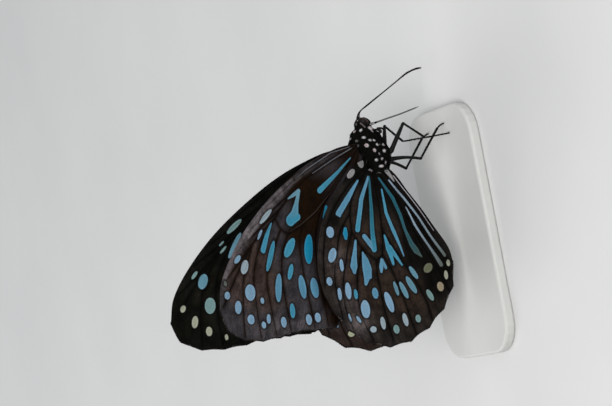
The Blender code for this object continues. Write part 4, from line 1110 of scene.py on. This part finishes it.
def surfaced(tree, shader, colour, rough, relief=None):
    """Link the colour, the roughness and the relief of a finish to its shader. relief is a height, the
    strength of its bumps and their depth in metres."""
    tree.links.new(colour, shader.inputs["Base Color"])
    tree.links.new(rough, shader.inputs["Roughness"])
    if relief:
        height, strength, depth = relief
        bump = add(tree, "Bump", {"Height": height, "Strength": strength, "Distance": depth})
        tree.links.new(bump.outputs[0], shader.inputs["Normal"])


def noise(tree, place, scale, detail=3.0, roughness=0.55):
    """Cloudy noise from 0 to 1."""
    inputs = {"Vector": place, "Scale": scale, "Detail": detail, "Roughness": roughness}
    return add(tree, "TexNoise", inputs).outputs[0]


def attribute(tree, name):
    """A field kept in the piece's own mesh: outputs Fac for a number and Vector for a vector."""
    return add(tree, "Attribute", attribute_name=name).outputs


def new_group(name, inputs, outputs):
    """Empty shader node group with named sockets."""
    group = bpy.data.node_groups.new(name, "ShaderNodeTree")
    for label, kind, value in inputs:
        socket = group.interface.new_socket(label, in_out="INPUT", socket_type=kind)
        if value is not None:
            socket.default_value = value
    for label, kind in outputs:
        group.interface.new_socket(label, in_out="OUTPUT", socket_type=kind)
    source = group.nodes.new("NodeGroupInput")
    sink = group.nodes.new("NodeGroupOutput")
    return group, source.outputs, sink.inputs


def scale_rows_group():
    """Overlapping scales: small long cells in staggered rows, each with its own shade and a raised
    middle."""
    group, given, result = new_group(
        "Scale rows", (("Place", "NodeSocketVector", None), ("Rows", "NodeSocketFloat", 9.0)),
        (("Shade", "NodeSocketFloat"), ("Height", "NodeSocketFloat")))
    long = stretched(group, given["Place"], (0.62, 1.0, 1.0))
    cells = add(group, "TexVoronoi", {"Vector": long, "Scale": given["Rows"], "Randomness": 0.55})
    grey = add(group, "RGBToBW", {0: cells.outputs["Color"]}).outputs[0]
    group.links.new(grey, result["Shade"])
    group.links.new(worked(group, "SUBTRACT", 1.0, cells.outputs["Distance"]), result["Height"])
    return group


def ragged_edge_group():
    """Mask of a mark from its depth, with an edge as uneven as the scales that draw it."""
    group, given, result = new_group(
        "Ragged edge", (("Depth", "NodeSocketFloat", 0.0), ("Place", "NodeSocketVector", None),
                        ("Uneven", "NodeSocketFloat", 0.1), ("Soft", "NodeSocketFloat", 0.05)),
        (("Mask", "NodeSocketFloat"),))
    wander = worked(group, "SUBTRACT", noise(group, given["Place"], 5.0), 0.5)
    depth = plus(group, given["Depth"], times(group, wander, given["Uneven"]))
    low = times(group, given["Soft"], -1.0)
    group.links.new(ramp(group, depth, low, given["Soft"]), result["Mask"])
    return group


GROUPS = {"rows": scale_rows_group(), "edge": ragged_edge_group()}


def grouped(tree, name, inputs):
    """A shared effect placed in a material."""
    made = add(tree, "Group", node_tree=GROUPS[name])
    for label, value in inputs.items():
        feed(tree, made.inputs[label], value)
    return made.outputs


def new_material(name, **constants):
    """Material with one Principled shader whose even values are set on its own sockets."""
    material = bpy.data.materials.new(name)
    material.use_nodes = True
    shader = material.node_tree.nodes["Principled BSDF"]
    for label, value in constants.items():
        shader.inputs[label.replace("_", " ")].default_value = value
    return material, material.node_tree, shader


def object_place(tree):
    """Place on the object in millimetres."""
    return stretched(tree, add(tree, "TexCoord").outputs["Object"], (1 / MM, 1 / MM, 1 / MM))


def wing_finish(name, cool, warm, dark_and_shade, ash):
    """Scaled membrane: ground tones with painted shadow and a painted sheen, faint fanning streaks, dark
    veins, scale grain and the marks.
    """
    material, tree, shader = new_material(name, Specular_IOR_Level=0.02)
    place = attribute(tree, "plan")["Vector"]
    tone = add(tree, "SeparateXYZ", {0: attribute(tree, "tone")["Vector"]}).outputs
    cloud = noise(tree, place, 0.45, 5.0, 0.65)
    fine = noise(tree, place, 3.2, 3.0, 0.6)
    streak = noise(tree, attribute(tree, "ray")["Vector"], 1.0, 3.0, 0.6)
    rows = grouped(tree, "rows", {"Place": place, "Rows": 8.0})
    vein = attribute(tree, "vein")["Fac"]
    mark = attribute(tree, "mark")["Fac"]
    drift = worked(tree, "SUBTRACT", cloud, 0.5)

    # Ground: warm patches, dark patches that are partly the wing's own dark ground and partly painted shadow,
    # and the painted sheen; then dark beside and on the veins and round the marks
    ground = mixed(tree, ramp(tree, plus(tree, tone[0], drift), 0.1, 0.9), cool, warm)
    painted_sheen = times(tree, tone[2], ramp(tree, cloud, 0.3, 0.7, 0.75, 1.1))
    # Dark patches: own dark ground and painted shadow
    ground = mixed(tree, ramp(tree, plus(tree, tone[1], drift), 0.15, 0.95), ground, dark_and_shade)
    ground = mixed(tree, ramp(tree, vein, 0.75, 0.12, 0.0, 0.65), ground, dark_and_shade)
    # Painted sheen laid over the ground
    ground = mixed(tree, painted_sheen, ground, ash)
    ground = mixed(tree, ramp(tree, mark, -0.55, -0.05, 0.0, 0.65), ground, dark_and_shade)
    # Vein lines fade where the painted sheen is strong
    on_vein = times(tree, ramp(tree, vein, 0.20, 0.08, 0.0, 0.9), ramp(tree, painted_sheen, 0.1, 0.7, 1.0, 0.35))
    ground = mixed(tree, on_vein, ground, toned(dark_and_shade, 0.5))
    grain = plus(tree, times(tree, rows["Shade"], 0.35), times(tree, fine, 0.5))
    lively = ramp(tree, cloud, 0.28, 0.72, 0.55, 1.55)
    lively = times(tree, lively, ramp(tree, streak, 0.30, 0.70, 0.82, 1.18))
    lively = times(tree, lively, ramp(tree, grain, 0.1, 0.75, 0.70, 1.32))
    ground = brighter(tree, ground, lively)

    # Marks: a paler middle, dimmed where a vein crosses them
    mask = grouped(tree, "edge", {"Depth": mark, "Place": place, "Uneven": 0.18, "Soft": 0.08})["Mask"]
    glow = times(tree, ramp(tree, grain, 0.1, 0.8, 0.85, 1.15), ramp(tree, streak, 0.3, 0.7, 0.94, 1.06))
    glow = times(tree, glow, ramp(tree, vein, 0.16, 0.06, 1.0, 0.78))
    tint = attribute(tree, "tint")["Vector"]
    lift = {0: tint, 1: (1.1, 1.1, 1.1), 2: (0.035, 0.035, 0.035)}
    pale = add(tree, "VectorMath", lift, operation="MULTIPLY_ADD").outputs[0]
    tint = mixed(tree, ramp(tree, mark, 0.05, 0.40, 0.6, 0.0), tint, pale)
    tint = brighter(tree, tint, glow)
    height = plus(tree, times(tree, rows["Height"], 0.5), times(tree, fine, 0.6))
    surfaced(tree, shader, mixed(tree, mask, ground, tint), rough_from(tree, fine, 0.25, 0.45),
             (height, 0.35, 0.00006))
    return material


def coat_finish(name, dark, white):
    """Body scales: soft black with white dots, each lancet its own shade."""
    material, tree, shader = new_material(name, Specular_IOR_Level=0.05)
    place = object_place(tree)
    shade = attribute(tree, "shade")["Fac"]
    depth = attribute(tree, "white")["Fac"]
    mask = grouped(tree, "edge", {"Depth": depth, "Place": place, "Uneven": 0.16, "Soft": 0.05})["Mask"]
    cloud = noise(tree, place, 1.4)
    black = mixed(tree, times(tree, cloud, shade), dark, toned(dark, 4.0))
    pink = (white[0], white[1] * 0.80, white[2] * 0.80)
    dots = mixed(tree, ramp(tree, noise(tree, place, 0.8), 0.5, 0.62), white, pink)
    bright = ramp(tree, attribute(tree, "bright")["Fac"], 0.0, 1.0, 0.12, 1.0)
    bright = times(tree, bright, ramp(tree, shade, 0.0, 1.0, 0.7, 1.0))
    bright = times(tree, bright, ramp(tree, depth, -0.05, 0.22, 0.55, 1.15))
    colour = mixed(tree, mask, black, brighter(tree, dots, bright))
    relief = (noise(tree, place, 14.0), 0.3, 0.00005)
    surfaced(tree, shader, colour, rough_from(tree, cloud, 0.3, 0.5), relief)
    return material


def eye_finish():
    """Compound eye: fine facets over brown, with painted shade darkening it to black at the back of the head.
    """
    material, tree, shader = new_material("eye_facets", Specular_IOR_Level=0.12)
    place = object_place(tree)
    cells = add(tree, "TexVoronoi", {"Vector": place, "Scale": 17.0, "Randomness": 0.15}).outputs["Distance"]
    cloud = noise(tree, place, 1.6)
    ahead, high = math.cos(math.radians(EYE_LEAN)), -math.sin(math.radians(EYE_LEAN))
    face = add(tree, "VectorMath", {0: place, 1: (ahead, 0.0, high)}, operation="DOT_PRODUCT").outputs[1]
    centre = np.array(EYE_CENTRE) + THORAX_PLACE
    level = float(centre[0] * ahead + centre[2] * high)
    face = plus(tree, face, times(tree, cloud, 0.3))
    # Painted shade: the brown darkens to near black towards the back of the eye
    brown = mixed(tree, ramp(tree, face, level - 0.15, level + 0.55), EYE_LOOKS["shaded_rear"], EYE_LOOKS["face"])
    colour = mixed(tree, ramp(tree, cells, 0.25, 0.6, 0.0, 0.6), brown, EYE_LOOKS["seam"])
    surfaced(tree, shader, colour, ramp(tree, cloud, 0.3, 0.7, 0.32, 0.44),
             (worked(tree, "SUBTRACT", 1.0, cells), 0.5, 0.00003))
    return material


def cuticle_finish(name, dark, light, stripe=False):
    """Horny black skin of the limbs, satin, with fine pits and a paler bloom, or a pale stripe."""
    material, tree, shader = new_material(name, Specular_IOR_Level=0.08)
    place = object_place(tree)
    cloud, fine = noise(tree, place, 1.8), noise(tree, place, 16.0)
    colour = mixed(tree, ramp(tree, cloud, 0.4, 0.75), dark, toned(dark, 2.4))
    if stripe:
        band = ramp(tree, attribute(tree, "stripe")["Fac"], 0.82, 1.02)
        pale = times(tree, band, ramp(tree, fine, 0.2, 0.7, 0.5, 1.0))
    else:
        pale = ramp(tree, fine, 0.62, 0.8, 0.0, 0.5)
    colour = mixed(tree, pale, colour, light)
    surfaced(tree, shader, colour, rough_from(tree, fine, 0.35, 0.25), (fine, 0.35, 0.00004))
    return material


def plate_finish():
    """Pale satin plate with a faint grain and a few darker flecks."""
    material, tree, shader = new_material("plate_satin", Specular_IOR_Level=0.22)
    place = object_place(tree)
    cloud, fine = noise(tree, place, 0.12), noise(tree, place, 6.0, 5.0, 0.7)
    first, second, fleck = PLATE_LOOKS
    colour = mixed(tree, ramp(tree, fine, 0.55, 0.8, 0.0, 0.35), mixed(tree, cloud, first, second), fleck)
    surfaced(tree, shader, colour, rough_from(tree, fine, 0.25, 0.32), (fine, 0.2, 0.00005))
    return material


def floor_finish():
    """Pale matt floor, a little cloudy."""
    material, tree, shader = new_material("floor_matt", Specular_IOR_Level=0.2)
    cloud = noise(tree, object_place(tree), 0.02)
    surfaced(tree, shader, mixed(tree, cloud, *FLOOR_LOOKS), rough_from(tree, cloud, 0.2, 0.6))
    return material


def build_floor():
    """Large pale floor under the plate."""
    corners = [(x * FLOOR_HALF, y * FLOOR_HALF, 0) for x, y in ((-1, -1), (1, -1), (1, 1), (-1, 1))]
    mesh = bpy.data.meshes.new("floor")
    mesh.from_pydata(corners, [], [(0, 1, 2, 3)])
    mesh.materials.append(floor_finish())
    floor = bpy.data.objects.new("floor", mesh)
    bpy.context.scene.collection.objects.link(floor)


def add_light(name, place, size, power, colour):
    """Soft square light that faces the butterfly; places in metres."""
    data = bpy.data.lights.new(name, "AREA")
    data.size = size
    data.energy = power
    data.color = colour
    light = bpy.data.objects.new(name, data)
    light.location = place
    light.rotation_euler = (Vector(LIGHT_TARGET) - Vector(place)).to_track_quat("-Z", "Y").to_euler()
    bpy.context.scene.collection.objects.link(light)


def build_camera_and_light():
    """Camera rolled with the animal as in the photo, and three soft lights."""
    data = bpy.data.cameras.new("camera")
    data.lens = LENS
    data.clip_start, data.clip_end = 0.01, 20.0
    camera = bpy.data.objects.new("camera", data)
    across, up = VIEW_OFFSET
    place = Vector(THORAX_PLACE) - VIEW_RIGHT * across - VIEW_UP * up + VIEW_BACK * VIEW_DISTANCE
    turn = Matrix((VIEW_RIGHT, VIEW_UP, VIEW_BACK)).transposed().to_4x4()
    camera.matrix_world = Matrix.Translation(place * MM) @ turn
    bpy.context.scene.collection.objects.link(camera)
    bpy.context.scene.camera = camera
    for name, light in LIGHTS.items():
        add_light(name, *light)
    world = bpy.data.worlds.new("studio")
    world.use_nodes = True
    sky = world.node_tree.nodes["Background"].inputs
    sky["Color"].default_value = SKY
    sky["Strength"].default_value = SKY_STRENGTH
    bpy.context.scene.world = world
    bpy.context.scene.view_settings.view_transform = "Standard"


def build_body(scales):
    """Skin, coat, eyes, palps and tongue."""
    build_skin(scales)
    for part, coat in COATS.items():
        build_coat(part + "_coat", *coat, scales)
    facets = eye_finish()
    for side, name in SIDES:
        build_eye(side, name, facets)
        build_palp(side, name, 20 + side, scales)
    build_tongue(cuticle_finish("tongue_horn", **TONGUE_LOOKS))


def build_wings(scales):
    """Four wings with their furry roots and their fringes."""
    finish = {name: wing_finish(name, **looks) for name, looks in WING_LOOKS.items()}
    fringe = coat_finish("fringe_scales", **FRINGE_LOOKS)
    buttery = tuple(("butter" if tint == "pale" else tint, *spot) for tint, *spot in HIND_SPOTS)
    faces = {
        "forewing": ((FORE_STREAKS + FORE_UNDER_STREAKS, FORE_SPOTS + FORE_UNDER_SPOTS),
                     (FORE_STREAKS, FORE_SPOTS + FORE_UPPER_SPOTS)),
        "hindwing": ((HIND_STREAKS, HIND_SPOTS), (HIND_STREAKS, buttery)),
    }
    for side, name in SIDES:
        plans = {}
        for label, marks in faces.items():
            finishes = [finish[label + "_under"], finish[label + "_upper"]]
            plans[label] = build_wing(label, WINGS[label], side, name, *marks, finishes)
        for label, seed in (("forewing", 70), ("hindwing", 80)):
            build_root_tuft(label, WINGS[label], plans[label], side, name, seed + side, scales)
        for label, seed in (("forewing", 30), ("hindwing", 40)):
            build_fringe(label, WINGS[label], side, name, seed + side, fringe)


def build_limbs():
    """Six legs and two feelers."""
    horn = cuticle_finish("leg_horn", **HORN_LOOKS)
    for side, name in SIDES:
        build_leg("mid", MID_LEG, side, name, 50 + side, horn)
        build_leg("hind", HIND_LEG, side, name, 60 + side, horn)
        build_fore_leg(side, name, horn)
        build_antenna(side, name, horn)


def dress_plate():
    """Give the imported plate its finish."""
    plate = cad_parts["stand_base"]
    finish = plate_finish()
    if not plate.material_slots:
        plate.data.materials.append(finish)
    for material_slot in plate.material_slots:
        material_slot.material = finish


SCALES = coat_finish("body_scales_black", **COAT_LOOKS)
build_body(SCALES)
build_wings(SCALES)
build_limbs()
dress_plate()
build_floor()
build_camera_and_light()
